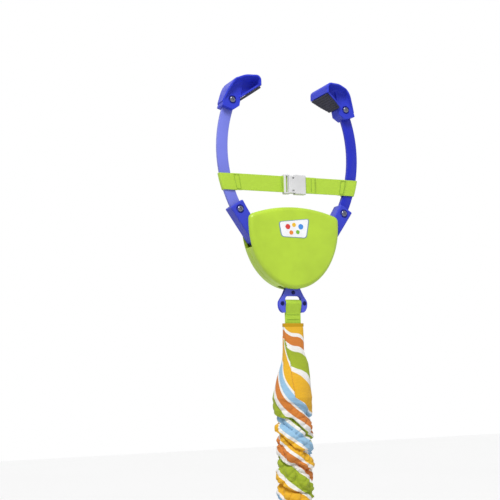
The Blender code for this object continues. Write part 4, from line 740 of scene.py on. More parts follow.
def tube(points, radius, sides=12, closed=False):
    """A round wire through these points, its section carried along without a twist."""
    places = [Vector(point) for point in points]
    rings = []
    side = None
    for i, place in enumerate(places):
        if closed:
            run = places[(i + 1) % len(places)] - places[i - 1]
        else:
            run = places[min(i + 1, len(places) - 1)] - places[max(i - 1, 0)]
        run.normalize()
        side = run.orthogonal() if side is None else side - run * side.dot(run)
        side.normalize()
        other = run.cross(side)
        angles = (2 * pi * k / sides for k in range(sides))
        rings.append([place + radius * (side * cos(a) + other * sin(a)) for a in angles])
    return loft(rings, closed)


def arc_points(centre, radius, start, end, count):
    steps = [start + (end - start) * i / (count - 1) for i in range(count)]
    return [(centre[0] + radius * cos(a), centre[1] + radius * sin(a)) for a in steps]


def smooth_line(points, steps):
    """A Catmull-Rom line through these points."""
    ends = np.array([points[0], *points, points[-1]], float)
    line = []
    for a, b, c, d in zip(ends, ends[1:], ends[2:], ends[3:]):
        for i in range(steps):
            t = i / steps
            cubic = (2 * b, c - a, 2 * a - 5 * b + 4 * c - d, 3 * b - a - 3 * c + d)
            line.append(tuple(0.5 * sum(term * t**power for power, term in enumerate(cubic))))
    line.append(tuple(points[-1]))
    return line


def circle(x, z, radius, sides=48):
    return arc_points((x, z), radius, 0, 2 * pi * (1 - 1 / sides), sides)


def joined(*meshes):
    bm = bmesh.new()
    for mesh in meshes:
        bm.from_mesh(mesh)
    mesh = bpy.data.meshes.new("joined")
    bm.to_mesh(mesh)
    bm.free()
    return mesh


# The modifiers behind a mesh's steps, and the setting that takes each step's value
STEPS = {
    "voxels": ("REMESH", "voxel_size"), "ease": ("SMOOTH", "iterations"), "bevel": ("BEVEL", "width"),
    "finer": ("SUBSURF", "levels"), "less": ("BOOLEAN", "object"),
}


def worked(mesh, *steps):
    """A mesh after its steps in turn: a voxel remesh, an ease, a bevel, or less another mesh."""
    shape = added("shape", mesh)
    made = [shape]
    for kind, value in steps:
        modifier, setting = STEPS[kind]
        step = shape.modifiers.new(kind, modifier)
        if kind == "voxels":
            step.mode = "VOXEL"
        elif kind == "bevel":
            step.segments = 3
            step.limit_method = "ANGLE"
            step.angle_limit = SMOOTH_ANGLE
        elif kind == "less":
            value = added("tool", value)
            made.append(value)
        setattr(step, setting, value)
    bpy.context.view_layer.update()
    graph = bpy.context.evaluated_depsgraph_get()
    result = bpy.data.meshes.new_from_object(shape.evaluated_get(graph))
    for old in made:
        bpy.data.objects.remove(old)
    return result


def welded(node):
    """A copy of a node's mesh with its corners joined."""
    bm = bmesh.new()
    bm.from_mesh(NODES[node].data)
    bmesh.ops.remove_doubles(bm, verts=bm.verts, dist=WELD)
    bmesh.ops.dissolve_limit(bm, angle_limit=radians(0.5), verts=bm.verts, edges=bm.edges)
    return mesh_from(bm, node)


def piece(name, mesh, material, body=None, replaced=(), angle=SMOOTH_ANGLE, blend=None):
    """A visible piece in its material, on a body if one is given; with a blend, its place is baked into its
    mesh.
    """
    mesh.materials.clear()
    mesh.materials.append(material)
    mesh.shade_smooth()
    mesh.set_sharp_from_angle(angle=angle)
    made = added(name, mesh)
    if body:
        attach(made, body)
    if replaced:
        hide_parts(*replaced)
    if blend:
        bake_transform(made)
    return made


# Housing


def housing_outline(inset):
    """The covers' outline, drawn in by an inset: an ellipse below, a shallow arc on top, round corners."""
    half = HOUSING_WIDTH / 2
    radius = HOUSING_CORNER_RADIUS
    crown_centre = HOUSING_TOP - HOUSING_CROWN_RADIUS
    corner_x = half - radius
    corner_level = crown_centre + sqrt((HOUSING_CROWN_RADIUS - radius) ** 2 - corner_x**2)
    lean = atan2(corner_level - crown_centre, corner_x)
    shoulder = HOUSING_TOP - HOUSING_SHOULDER_DROP
    points = []
    for i in range(OUTLINE_POINTS + 1):
        angle = -pi / 2 * (1 - i / OUTLINE_POINTS)
        normal = Vector((cos(angle) / half, sin(angle) / HOUSING_BELLY_DEPTH)).normalized()
        x = half * cos(angle) - inset * normal.x
        points.append((x, shoulder + HOUSING_BELLY_DEPTH * sin(angle) - inset * normal.y))
    points += arc_points((corner_x, corner_level), max(radius - inset, FIT), 0, lean, CORNER_POINTS)
    points += arc_points((0, crown_centre), HOUSING_CROWN_RADIUS - inset, lean, pi / 2, OUTLINE_POINTS)[1:]
    return [*points, *[(-x, z) for x, z in reversed(points[1:-1])]]


def cover_mesh(side):
    """A cover's shell: its inner floor, its rim at the parting line, a soft edge and a crowned face."""
    depth = HOUSING_DEPTH / 2
    rings = [(HOUSING_WALL + HOUSING_EDGE, depth - HOUSING_WALL - HOUSING_CROWN)]
    rings += [(HOUSING_WALL, depth - HOUSING_WALL - HOUSING_EDGE)]
    rings += [(HOUSING_WALL, FIT / 2), (RIM_CHAMFER, FIT / 2), (0, FIT / 2 + RIM_CHAMFER)]
    for i in range(EDGE_POINTS + 1):
        angle = (pi / 2) * i / EDGE_POINTS
        y = depth - HOUSING_CROWN - HOUSING_EDGE * (1 - sin(angle))
        rings.append((HOUSING_EDGE * (1 - cos(angle)), y))
    layers = [[(x, side * y, z) for x, z in housing_outline(inset)] for inset, y in rings]
    last = np.array(layers[-1])
    middle = np.array((0, last[0][1], HOUSING_TOP - (HOUSING_SHOULDER_DROP + HOUSING_BELLY_DEPTH) / 2))
    for i in range(1, CROWN_RINGS):
        share = 1 - i / CROWN_RINGS
        ring = middle + (last - middle) * share
        ring[:, 1] += side * HOUSING_CROWN * (1 - share**2)
        layers.append([tuple(point) for point in ring])
    return loft(layers)


def make_covers():
    """Two shells with slots for the levers and the hanger, and wells in the rear one for its screws."""
    bottom = HOUSING_TOP - HOUSING_SHOULDER_DROP - HOUSING_BELLY_DEPTH
    deep, half = LEVER_DEPTH / 2 + RUNNING_FIT, HANGER_SLOT_WIDTH / 2
    low, high = HOUSING_TOP - SIDE_SLOT_BOTTOM_DROP, HOUSING_TOP - SIDE_SLOT_TOP_DROP
    for word, side in SIDES:
        tools = []
        for _, way in SIDES:
            ends = (way * (HOUSING_WIDTH / 2 - SIDE_SLOT_INSET), way * (HOUSING_WIDTH / 2 + CUT_OVERRUN))
            tools.append(block((min(ends), -deep, low), (max(ends), deep, high)))
        floor, roof = bottom - CUT_OVERRUN, bottom + HANGER_SLOT_RISE
        tools.append(block((-half, -HANGER_SLOT_HALF, floor), (half, HANGER_SLOT_HALF, roof)))
        for place in COVER_SCREWS if side > 0 else ():
            least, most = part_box(f"cover_screw_{place}")
            middle = (least + most) / 2
            outline = circle(middle.x, middle.z, (most.x - least.x) / 2 + FIT)
            tools.append(prism(outline, most.y - SCREW_WELL, HOUSING_DEPTH))
        shell = worked(cover_mesh(side), *(("less", tool) for tool in tools))
        cover = piece(f"{word}_shell", shell, LIME, "housing", [f"{word}_cover"])
        edges = cover.modifiers.new("edges", "BEVEL")
        edges.width = RIM_CHAMFER
        edges.segments = 2
        edges.limit_method = "ANGLE"
        edges.angle_limit = RIM_ANGLE


def make_screw(node, body, way, radius, height, material=SCREW_STEEL, cross=True):
    """A pan-head screw, driven from the front or the rear, with a cross recess unless it is a rivet."""
    low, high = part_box(node)
    middle = (low + high) / 2
    end = high.y if way > 0 else low.y
    shank = min(BOLT_RADIUS if cross else (high.x - low.x) / 2, radius / 2)
    profile = [(radius * sin(a), height * cos(a) ** HEAD_POWER) for a in map(radians, HEAD_ANGLES)]
    profile += [(radius, 0), (shank, 0), (shank, -(high.y - low.y - height))]
    mesh = lathe(profile, (middle.x, end - way * height, middle.z), (0, way, 0))
    if cross:
        arm, half = CROSS_REACH_SHARE * radius, CROSS_WIDTH / 2
        near, far = end - CROSS_DEPTH, end + CROSS_DEPTH
        for a, b in ((arm, half), (half, arm)):
            tool = block((middle.x - a, near, middle.z - b), (middle.x + a, far, middle.z + b))
            mesh = worked(mesh, ("less", tool))
        turn = Matrix.Translation(middle) @ Matrix.Rotation(CROSS_TURN, 4, "Y")
        mesh.transform(turn @ Matrix.Translation(-middle))
    piece(f"{node}_head", mesh, material, body, [node])


# Arms


def arm_edge(level, offset=0.0):
    """Half the distance between the arms' lines, at an offset from their centrelines, at a level."""
    reach = ARM_RADIUS + offset
    return ARM_HALF_SPAN - ARM_RADIUS + sqrt(reach**2 - (level - ARM_WIDEST_LEVEL) ** 2)


def arm_angle(level):
    return atan2(level - ARM_WIDEST_LEVEL, arm_edge(level) - ARM_HALF_SPAN + ARM_RADIUS)


def arm_outline(spare=0.0):
    low, high = arm_angle(ARM_BOLT_LEVEL), arm_angle(GRIP_SCREW_LEVEL)
    centre = (ARM_HALF_SPAN - ARM_RADIUS, ARM_WIDEST_LEVEL)
    half = ARM_WIDTH / 2 + spare
    top = (arm_edge(GRIP_SCREW_LEVEL), GRIP_SCREW_LEVEL)
    foot = (arm_edge(ARM_BOLT_LEVEL), ARM_BOLT_LEVEL)
    outline = arc_points(centre, ARM_RADIUS + half, low, high, OUTLINE_POINTS)
    outline += arc_points(top, half, high, high + pi, END_POINTS)[1:-1]
    outline += arc_points(centre, ARM_RADIUS - half, high, low, OUTLINE_POINTS)
    return outline + arc_points(foot, half, low + pi, low + 2 * pi, END_POINTS)[1:-1]


def mirrored(outline, side):
    return [(side * x, z) for x, z in outline]


def head_groove(side, level):
    """A cutter for the round groove about a screw's head, in the face at the front."""
    inner, outer = BOLT_HEAD_RADIUS - SCREW_RING_DEPTH / 2, BOLT_HEAD_RADIUS + SCREW_RING_WIDTH
    near, far = -LEVER_DEPTH / 2 - CUT_OVERRUN, -LEVER_DEPTH / 2 + SCREW_RING_DEPTH
    rings = []
    for radius, y in ((inner, near), (outer, near), (outer, far), (inner, far)):
        rings.append([(x, y, z) for x, z in circle(side * arm_edge(level), level, radius)])
    return loft(rings, closed=True)


def right_normals(path):
    normals = []
    for i in range(len(path)):
        run = Vector(path[min(i + 1, len(path) - 1)]) - Vector(path[max(i - 1, 0)])
        run.normalize()
        normals.append(Vector((run.y, -run.x)))
    return normals


def offset_line(path, distance):
    return [tuple(Vector(point) + normal * distance) for point, normal in zip(path, right_normals(path))]


def hood_back(floor):
    """The hood's back line and its half widths, from its foot over the crest and down to a floor."""
    wall = GRIP_GAP / 2 + HOOD_FLANGE_THICKNESS
    foot_x = arm_edge(HOOD_FOOT_LEVEL) + HOOD_BODY_HALF - HOOD_FLANGE_THICKNESS
    crest = GRIP_CREST_HEIGHT - HOOD_FLANGE_THICKNESS
    run, rise, wide = foot_x - wall, crest - HOOD_FOOT_LEVEL, HOOD_WALL_WIDTH / 2
    back = [(wall + run * a, HOOD_FOOT_LEVEL + rise * b, wide * c) for a, b, c in HOOD_BACK_SHARES]
    back = smooth_line(back, HOOD_LINE_STEPS)
    line = [(x, z) for x, z, _ in back]
    line += arc_points((wall + HOOD_CORNER, crest - HOOD_CORNER), HOOD_CORNER, pi / 2, pi, CORNER_POINTS)
    line += [(wall, z) for z in np.linspace(crest - HOOD_CORNER, floor, CORNER_POINTS + 1)[1:]]
    return line, [*(half for _, _, half in back), *[wide] * (len(line) - len(back))]


def sole_line():
    """The ends of the sole's lower side, at its foot and at the wall, and the boss's heel beyond."""
    slope = Vector((PAD_REACH, -PAD_DROP)).normalized()
    lift = Vector((-slope.y, slope.x)) * (PAD_THICKNESS + FIT)
    foot = Vector((GRIP_GAP / 2 + PAD_REACH, -PAD_DROP))
    return foot + lift, Vector((GRIP_GAP / 2 + SOLE_INSET, 0)) + lift, foot + slope * FIT


def flange_mesh(back, halves, side):
    """The flange and the hollow under it: a strip that flares to the wall, its inside curved to the web."""
    rings = []
    steps = len(back) - 1
    for i, (point, normal, half) in enumerate(zip(back, right_normals(back), halves)):
        share = i / steps
        web = LEVER_DEPTH / 2 - HOOD_WEB_STEP
        depth = min(HOOD_SCOOP_DEPTH, HOOD_SCOOP_DEPTH * 3 * (1 - share) + RIM_CHAMFER)
        inside = []
        for k in range(SCOOP_POINTS + 1):
            turn = pi / 2 * k / SCOOP_POINTS
            inside.append((half - (half - web) * sin(turn), -depth * (1 - cos(turn))))
        outside = HOOD_FLANGE_THICKNESS
        round_edge = [(half, outside * 0.7), (half - outside * 0.3, outside)]
        right = [*reversed(inside), *round_edge]
        section = [*right, *[(-y, rise) for y, rise in reversed(right)]]
        ring = [(point[0] + normal.x * rise, y, point[1] + normal.y * rise) for y, rise in section]
        rings.append([(side * x, y, z) for x, y, z in ring])
    return loft(rings)


def plate_mesh(path, widths, thickness, side):
    """A flat strip of changing width along a path in XZ."""
    rings = []
    for (x, z), normal, half in zip(path, right_normals(path), widths):
        far_x, far_z = x + normal.x * thickness, z + normal.y * thickness
        ring = [(x, -half, z), (x, half, z), (far_x, half, far_z), (far_x, -half, far_z)]
        rings.append([(side * a, b, c) for a, b, c in ring])
    return loft(rings)


def sole_widths(count, spare=0.0):
    shares = np.interp(np.linspace(0, 2, count), (0, 1, 2), SOLE_WIDTH_SHARES)
    return [PAD_WIDTH / 2 * share - spare for share in shares]


def make_hood(word, side):
    """A grip hood: a round-shouldered boss for the bar, a hollow web, a flared flange and a sole."""
    sole_foot, sole_wall, heel = sole_line()
    back, halves = hood_back(sole_wall.y)
    sunk = HOOD_FLANGE_THICKNESS / 2
    web = offset_line(back, sunk)
    web += [*offset_line([tuple(sole_wall), tuple(sole_foot)], -sunk), tuple(heel)]
    screw_x = arm_edge(GRIP_SCREW_LEVEL)
    corners = [(HOOD_BOSS_SIZE * a, HOOD_BOSS_SIZE * b) for a, b in HOOD_BOSS_SHARES]
    web = mirrored([*web, *[(screw_x + x, GRIP_SCREW_LEVEL + z) for x, z in corners]], side)
    y = LEVER_DEPTH / 2
    wall_end, crease = sorted((side * GRIP_GAP / 2, side * HOOD_CREASE_X))
    past = block((wall_end, -2 * y, -HOOD_WALL_WIDTH), (crease, 2 * y, HOOD_WALL_WIDTH))
    hinge = Vector((side * HOOD_CREASE_X, 0, 0))
    turn = Matrix.Translation(hinge) @ Matrix.Rotation(-side * HOOD_CREASE_LEAN, 4, "Y")
    past.transform(turn @ Matrix.Translation(-hinge))
    boss = worked(prism(web, -y, y), ("less", past))
    inner = prism(web, HOOD_WEB_STEP - y, y - HOOD_WEB_STEP)
    path = [tuple(sole_foot.lerp(sole_wall, i / END_POINTS)) for i in range(END_POINTS + 1)]
    sole = plate_mesh(path, sole_widths(len(path)), HOOD_FLANGE_THICKNESS, side)
    body = joined(boss, inner, flange_mesh(back, halves, side), sole)
    depth = ARM_THICKNESS / 2 + FIT
    socket = prism(mirrored(arm_outline(FIT), side), -depth, depth)
    cuts = (("less", socket), ("less", head_groove(side, GRIP_SCREW_LEVEL)))
    mesh = worked(body, ("voxels", MOULD_VOXEL), ("ease", HOOD_EASE), *cuts)
    piece(f"{word}_hood_moulding", mesh, HOOD_BLUE, f"{word}_arm", [f"{word}_grip_hood"])


def make_pad(word, side):
    """A rubber pad with grooves across its gripping face."""
    corner = Vector((GRIP_GAP / 2, 0))
    foot = Vector((GRIP_GAP / 2 + PAD_REACH, -PAD_DROP))
    foot += (corner - foot).normalized() * 2 * FIT
    length = (corner - foot).length
    count = int(length / PAD_GROOVE_PITCH * PAD_GROOVE_POINTS)
    widths = sole_widths(count + 1)
    normal = right_normals([tuple(foot), tuple(corner)])[0]
    rings = []
    for i in range(count + 1):
        place = foot.lerp(corner, i / count)
        wave = cos(2 * pi * i * length / count / PAD_GROOVE_PITCH)
        sink = PAD_GROOVE_DEPTH * max(0.0, wave) ** 2
        half, edge, full = widths[i], widths[i] * PAD_GROOVE_SHARE, PAD_THICKNESS
        ring = [(-half, PAD_GROOVE_DEPTH), (-edge, sink), (edge, sink), (half, PAD_GROOVE_DEPTH)]
        ring += [(half, full), (-half, full)]
        rings.append([(side * (place.x + normal.x * rise), y, place.y + normal.y * rise) for y, rise in ring])
    mesh = loft(rings)
    piece(f"{word}_pad_rubber", mesh, RUBBER, f"{word}_arm", [f"{word}_grip_pad"], angle=PAD_ANGLE)


def make_arm(word, side, paint):
    body = f"{word}_arm"
    lever = worked(
        welded(f"{word}_lever"), ("less", head_groove(side, ARM_BOLT_LEVEL)),
        ("voxels", FINE_VOXEL), ("ease", LEVER_EASE),
    )
    piece(f"{word}_lever_moulding", lever, LEVER_BLUE, body, [f"{word}_lever"])
    y = ARM_THICKNESS / 2
    bar = worked(prism(mirrored(arm_outline(), side), -y, y), ("bevel", BAR_EDGE))
    piece(f"{word}_bar_steel", bar, paint, body, [f"{word}_arm_bar"])
    make_hood(word, side)
    make_pad(word, side)
    for node in ("arm_bolt", "grip_screw"):
        make_screw(f"{word}_{node}", body, -1, BOLT_HEAD_RADIUS, BOLT_HEAD_HEIGHT)


# Webbing


def resampled(points, pitch, closed=False):
    places = np.array(points, float)
    if closed:
        places = np.vstack((places, places[:1]))
    lengths = np.concatenate(([0], np.cumsum(np.linalg.norm(np.diff(places, axis=0), axis=1))))
    count = max(int(lengths[-1] / pitch), 2)
    if closed:
        count = int(round(lengths[-1] / RIB_PITCH)) * int(RIB_PITCH / pitch)
    at = np.linspace(0, lengths[-1], count + 1)
    line = np.stack([np.interp(at, lengths, places[:, k]) for k in range(3)], axis=1)
    return (line[:-1], at[:-1]) if closed else (line, at)


def keep_place(mesh, values, name="cloth"):
    attribute = mesh.attributes.new(name, "FLOAT_VECTOR", "POINT")
    attribute.data.foreach_set("vector", np.array(values, np.float32).ravel())


def band(points, wide, half, thickness, closed=False, lean=None):
    """Ribbed webbing along a line, as wide as twice half along a direction, with its cloth place kept."""
    line, lengths = resampled(points, RIB_PITCH / 6, closed)
    wide = Vector(wide).normalized()
    vertices = []
    places = []
    for i, point in enumerate(line):
        if closed:
            run = Vector(line[(i + 1) % len(line)] - line[i - 1])
        else:
            run = Vector(line[min(i + 1, len(line) - 1)] - line[max(i - 1, 0)])
        normal = run.normalized().cross(wide)
        rib = 1 - RIB_HEIGHT_SHARE + RIB_HEIGHT_SHARE * cos(2 * pi * lengths[i] / RIB_PITCH)
        for across, depth in BAND_SECTION:
            place = Vector(point) + wide * (half * across) + normal * (thickness / 2 * depth * rib)
            if lean:
                place = lean(place)
            vertices.append(place)
            places.append((lengths[i], half * across, depth))
    around = len(BAND_SECTION)
    rows = len(line)
    faces = []
    for i in range(rows if closed else rows - 1):
        for k in range(around):
            a, b = i * around, (i + 1) % rows * around
            j = (k + 1) % around
            faces.append((a + k, a + j, b + j, b + k))
    if not closed:
        faces += [tuple(range(around)), tuple(range((rows - 1) * around, rows * around))]
    mesh = bpy.data.meshes.new("band")
    mesh.from_pydata(vertices, [], faces)
    keep_place(mesh, places)
    bm = bmesh.new()
    bm.from_mesh(mesh)
    bmesh.ops.recalc_face_normals(bm, faces=bm.faces)
    bm.to_mesh(mesh)
    bm.free()
    return mesh


def stitches(rows, lean=None):
    """Short raised threads along each row of (start, end), on a face at the front."""
    threads = []
    up = Vector((0, -1, 0))
    for start, end in rows:
        start, end = Vector(start), Vector(end)
        count = max(int((end - start).length / STITCH_PITCH), 1)
        for i in range(count):
            a, b = (start.lerp(end, (i + share) / count) for share in STITCH_SHARES)
            line = [a - up * THREAD_RADIUS, a + up * THREAD_RADIUS / 2, a.lerp(b, 0.5) + up * THREAD_RADIUS]
            line += [b + up * THREAD_RADIUS / 2, b - up * THREAD_RADIUS]
            if lean:
                line = [lean(point) for point in line]
            threads.append(tube(line, THREAD_RADIUS, 6))
    return joined(*threads)


def make_safety_strap(word, side, end_x):
    """One length of webbing: from the buckle, round the arm and back under itself, where it is sewn."""
    level, t = SAFETY_STRAP_LEVEL, SAFETY_STRAP_THICKNESS
    inner = arm_edge(level, -ARM_WIDTH / 2) - 2 * FIT
    outer = arm_edge(level, ARM_WIDTH / 2) + 2 * FIT
    front = -(ARM_THICKNESS / 2 + FIT + 1.5 * t + FIT)
    back = ARM_THICKNESS / 2 + FIT + t / 2
    tail = inner - STRAP_TAIL
    corners = [
        (side * end_x, front), ((tail + side * end_x) / 2, front),
        (tail + t, front), (inner - t, front + t / 8), (inner + t, -back - t / 2), (outer - t, -back - t / 8),
        (outer + t / 2, -back + 1.5 * t), (outer + t / 2, back - 1.5 * t), (outer - 1.5 * t, back),
        (inner + 1.5 * t, back), (inner - t / 2, back - 1.5 * t), (inner - t / 2, -back + 1.7 * t),
        (inner - 2.2 * t, -back + t / 8), (tail, front + t + FIT / 2),
    ]
    line = smooth_line([(side * x, y, level) for x, y in corners], STRAP_STEPS)

    def lean(place):
        share = min(max((abs(place.x) - tail + STRAP_TAIL) / (2 * STRAP_TAIL), 0), 1)
        shift = arm_edge(place.z) - arm_edge(level)
        return Vector((place.x + side * shift * share, place.y, place.z))

    half = SAFETY_STRAP_WIDTH / 2
    ends = [(side * (HINGE_X + shift), 0, level) for shift in (RUNNING_FIT, -STRAP_TAIL)]
    blend = (f"{word}_arm", f"{word}_strap", *ends)
    nodes = (f"{word}_strap_web", f"{word}_strap_loop")
    strap = band(line, UP, half, t, lean=lean)
    piece(f"{word}_safety_strap", strap, WEBBING, replaced=nodes, blend=blend)
    face = front - t / 2
    low, high = (level + way * (half - STITCH_MARGIN) for way in (-1, 1))
    near, far = side * (tail + STITCH_MARGIN), side * (inner - STITCH_MARGIN)
    rows = [((x, face, low), (x, face, high)) for x in (near, far)]
    rows += [((near, face, z), (far, face, z)) for z in (low, high)]
    threads = stitches(rows, lean)
    piece(f"{word}_strap_stitches", threads, THREAD, blend=blend)


def make_buckle(front):
    """The buckle's plug and socket, with the webbing that is threaded into each and folded back."""
    level, t = SAFETY_STRAP_LEVEL, SAFETY_STRAP_THICKNESS
    left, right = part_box("buckle_plug")[0].x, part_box("buckle_socket")[1].x
    make_safety_strap("front", -1, left + BUCKLE_BITE)
    make_safety_strap("rear", 1, right - BUCKLE_BITE)
    half = SAFETY_STRAP_WIDTH / 2
    reach = half - STITCH_MARGIN
    y = front - t - FIT / 2
    for word, edge, way, length, bite in (
        ("front", left, -1, FOLD_SHORT, BUCKLE_BITE), ("rear", right, 1, FOLD_LONG, -t),
    ):
        inside = edge - way * bite
        line = [(inside, front + t / 4), (inside - way * t / 2, y / 2 + front / 2), (inside, y)]
        line += [(inside + way * t, y), (edge + way * length, y)]
        mesh = band([(x, y, level) for x, y in line], UP, half, t)
        piece(f"{word}_strap_fold", mesh, WEBBING, f"{word}_strap")
        places = [edge + way * length * share for share in FOLD_ROWS_SHARES]
        rows = [((x, y - t / 2, level - reach), (x, y - t / 2, level + reach)) for x in places]
        piece(f"{word}_fold_stitches", stitches(rows), THREAD, f"{word}_strap")
    for node, body in (("buckle_plug", "front_strap"), ("buckle_socket", "rear_strap")):
        moulded(node, BUCKLE_GREY, body, ease=BUCKLE_EASE)


def webbing_eye(bar, way):
    """The middle line of a strap that is folded round a bar, with its layers met an eye's length away."""
    radius = STRAP_LOOP_RADIUS + WEBBING_THICKNESS / 2
    lean = asin(STRAP_LOOP_RADIUS / WEBBING_EYE_LENGTH)
    points = arc_points((0, 0), radius, -lean, pi + lean, 2 * END_POINTS)
    apex = -WEBBING_EYE_LENGTH * radius / STRAP_LOOP_RADIUS
    tail = WEBBING_THICKNESS / 2
    meet = apex + (points[0][1] - apex) * tail / points[0][0]
    return [(0, way * y, bar + way * z) for y, z in ((tail, meet), *points, (-tail, meet))]


def make_webbing_loop(node, body):
    """Webbing folded round two bars along X, with its layers stitched together between them."""
    low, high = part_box(node)
    radius = STRAP_LOOP_RADIUS + WEBBING_THICKNESS
    top, bottom = high.z - radius, low.z + radius
    line = [*webbing_eye(top, 1), *webbing_eye(bottom, -1)]
    mesh = band(line, (1, 0, 0), WEBBING_WIDTH / 2, WEBBING_THICKNESS, closed=True)
    piece(f"{node}_band", mesh, WEBBING, body, [node])
    reach = WEBBING_WIDTH / 2 - STITCH_MARGIN
    rows = []
    for bar, way in ((top, -1), (bottom, 1)):
        levels = [bar + way * WEBBING_EYE_LENGTH * share for share in SEWN_ROWS_SHARES]
        rows += [((-reach, -WEBBING_THICKNESS, z), (reach, -WEBBING_THICKNESS, z)) for z in levels]
    piece(f"{node}_stitches", stitches(rows), THREAD, body)


# Hanger, rings and springs


def moulded(node, material, body, voxel=FINE_VOXEL, ease=LEVER_EASE):
    """A node's own shape with its edges eased, as a mould leaves them."""
    mesh = worked(welded(node), ("voxels", voxel), ("ease", ease))
    piece(f"{node}_moulding", mesh, material, body, [node])


def make_hanger():
    moulded("hanger_front_plate", HANGER_BLUE, "hanger")
    moulded("hanger_rear_plate", HANGER_BLUE, "hanger")
    moulded("hanger_crossbar", HANGER_BLUE, "hanger", ease=CROSSBAR_EASE)
    for node in ("hanger_pin", "hanger_bolt_front", "hanger_bolt_rear"):
        low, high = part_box(node)
        make_screw(node, "hanger", -1, (high.x - low.x) / 2, RIVET_HEIGHT, DARK_STEEL, cross=False)


def wire_ring(node, body):
    low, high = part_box(node)
    wire = (high.y - low.y) / 2
    middle = (low + high) / 2
    points = []
    for i, (across, up) in enumerate(((1, 1), (-1, 1), (-1, -1), (1, -1))):
        x = across * (high.x - wire - RING_CORNER)
        z = middle.z + up * (high.z - middle.z - wire - RING_CORNER)
        points += arc_points((x, z), RING_CORNER, i * pi / 2, (i + 1) * pi / 2, CORNER_POINTS)
    mesh = tube([(x, 0, z) for x, z in points], wire, WIRE_SIDES, closed=True)
    piece(f"{node}_wire", mesh, INNER_STEEL, body, [node])


def coil(radius, top, bottom, turns):
    """A helix that starts at +Y and turns clockwise as it goes down."""
    steps = [(i / TURN_POINTS, 2 * pi * i / TURN_POINTS) for i in range(turns * TURN_POINTS + 1)]
    drop = (bottom - top) / turns
    return [(radius * sin(a), radius * cos(a), top + drop * turn) for turn, a in steps]


def make_main_spring():
    """The extension spring: a hook round each ring's bar and an even coil between them."""
    low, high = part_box("main_spring")
    hook = SPRING_HOOK_RADIUS
    top_hook, low_hook = high.z - SPRING_WIRE - hook, low.z + SPRING_WIRE + hook
    top, bottom = top_hook - hook - HOOK_NECK, low_hook + hook + HOOK_NECK
    arc = arc_points((0, top_hook), hook, HOOK_SWEEP - pi / 2, -pi / 2, HOOK_POINTS)
    upper = [(0, y, z) for y, z in arc]
    lower = [(0, y, low_hook + top_hook - z) for _, y, z in reversed(upper)]
    line = [*upper, *coil(SPRING_RADIUS, top, bottom, SPRING_TURNS), *lower]
    blend = ("suspension", "seat", (0, 0, top), (0, 0, bottom))
    piece("main_spring_wire", tube(line, SPRING_WIRE), INNER_STEEL, replaced=["main_spring"], blend=blend)


def make_clamp_spring():
    low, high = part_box("clamp_spring")
    wire = CLAMP_SPRING_WIRE
    top, bottom = high.z - wire, low.z + wire
    line = [(y, x, z) for x, y, z in coil(high.x - wire, bottom, top, CLAMP_SPRING_TURNS)]
    blend = ("housing", "yoke", (0, 0, top), (0, 0, bottom))
    mesh = tube(line, wire, CLAMP_SPRING_SIDES)
    piece("clamp_spring_wire", mesh, INNER_STEEL, replaced=["clamp_spring"], blend=blend)


# Sleeve


def ramp(value, start, run):
    """0 up to a start, and 1 from a run beyond it."""
    return np.clip((value - start) / run, 0, 1)


def waves(table, drop, turn):
    """The sum of waves of (turns round it, radians a metre down it, size, start)."""
    return sum(size * np.sin(count * turn + rate * drop + start) for count, rate, size, start in table)


def sleeve_folds(drop, turn):
    """The number of folds above each point, and how much cloth they hide."""
    rows = [(a, b, c, (a + c) / 2) for a, b, c in SLEEVE_VALLEYS]
    lines = np.array([np.interp(turn[0], VALLEY_TURNS, row, period=2 * pi) for row in rows])
    fold = np.stack([np.interp(drop[:, 0], line, range(len(rows))) for line in lines.T], axis=1)
    fold += waves(SLEEVE_WANDER, drop, turn) * ramp(drop, 0, WANDER_RUN)
    step = np.floor(fold) + ramp(fold - np.floor(fold), 1 - PUFF_FALL_SHARE, PUFF_FALL_SHARE)
    return fold, np.interp(step, range(len(rows)), np.cumsum(HIDDEN_CLOTH))


def crinkles(drop, turn):
    """Smaller creases between the folds: valleys where uneven patches of cloth meet, in two sizes."""
    radius = CLOTH_AROUND / (2 * pi)
    relief = 0 * (drop + turn)
    for patch, stretch, lean, depth in CRINKLES:
        x, y = radius * np.sin(turn) / (patch * stretch), radius * np.cos(turn) / (patch * stretch)
        z = (drop + lean * np.sin(turn - FACING_TURN)) / patch
        places = zip(*((part + 0 * relief).ravel().tolist() for part in (x, y, z)))
        near = (noise.voronoi(place)[0] for place in places)
        meet = np.array([reach[1] - reach[0] for reach in near]).reshape(relief.shape)
        relief -= depth * (1 - ramp(meet, 0, CRINKLE_SHARE)) ** VALLEY_POWER
    return relief


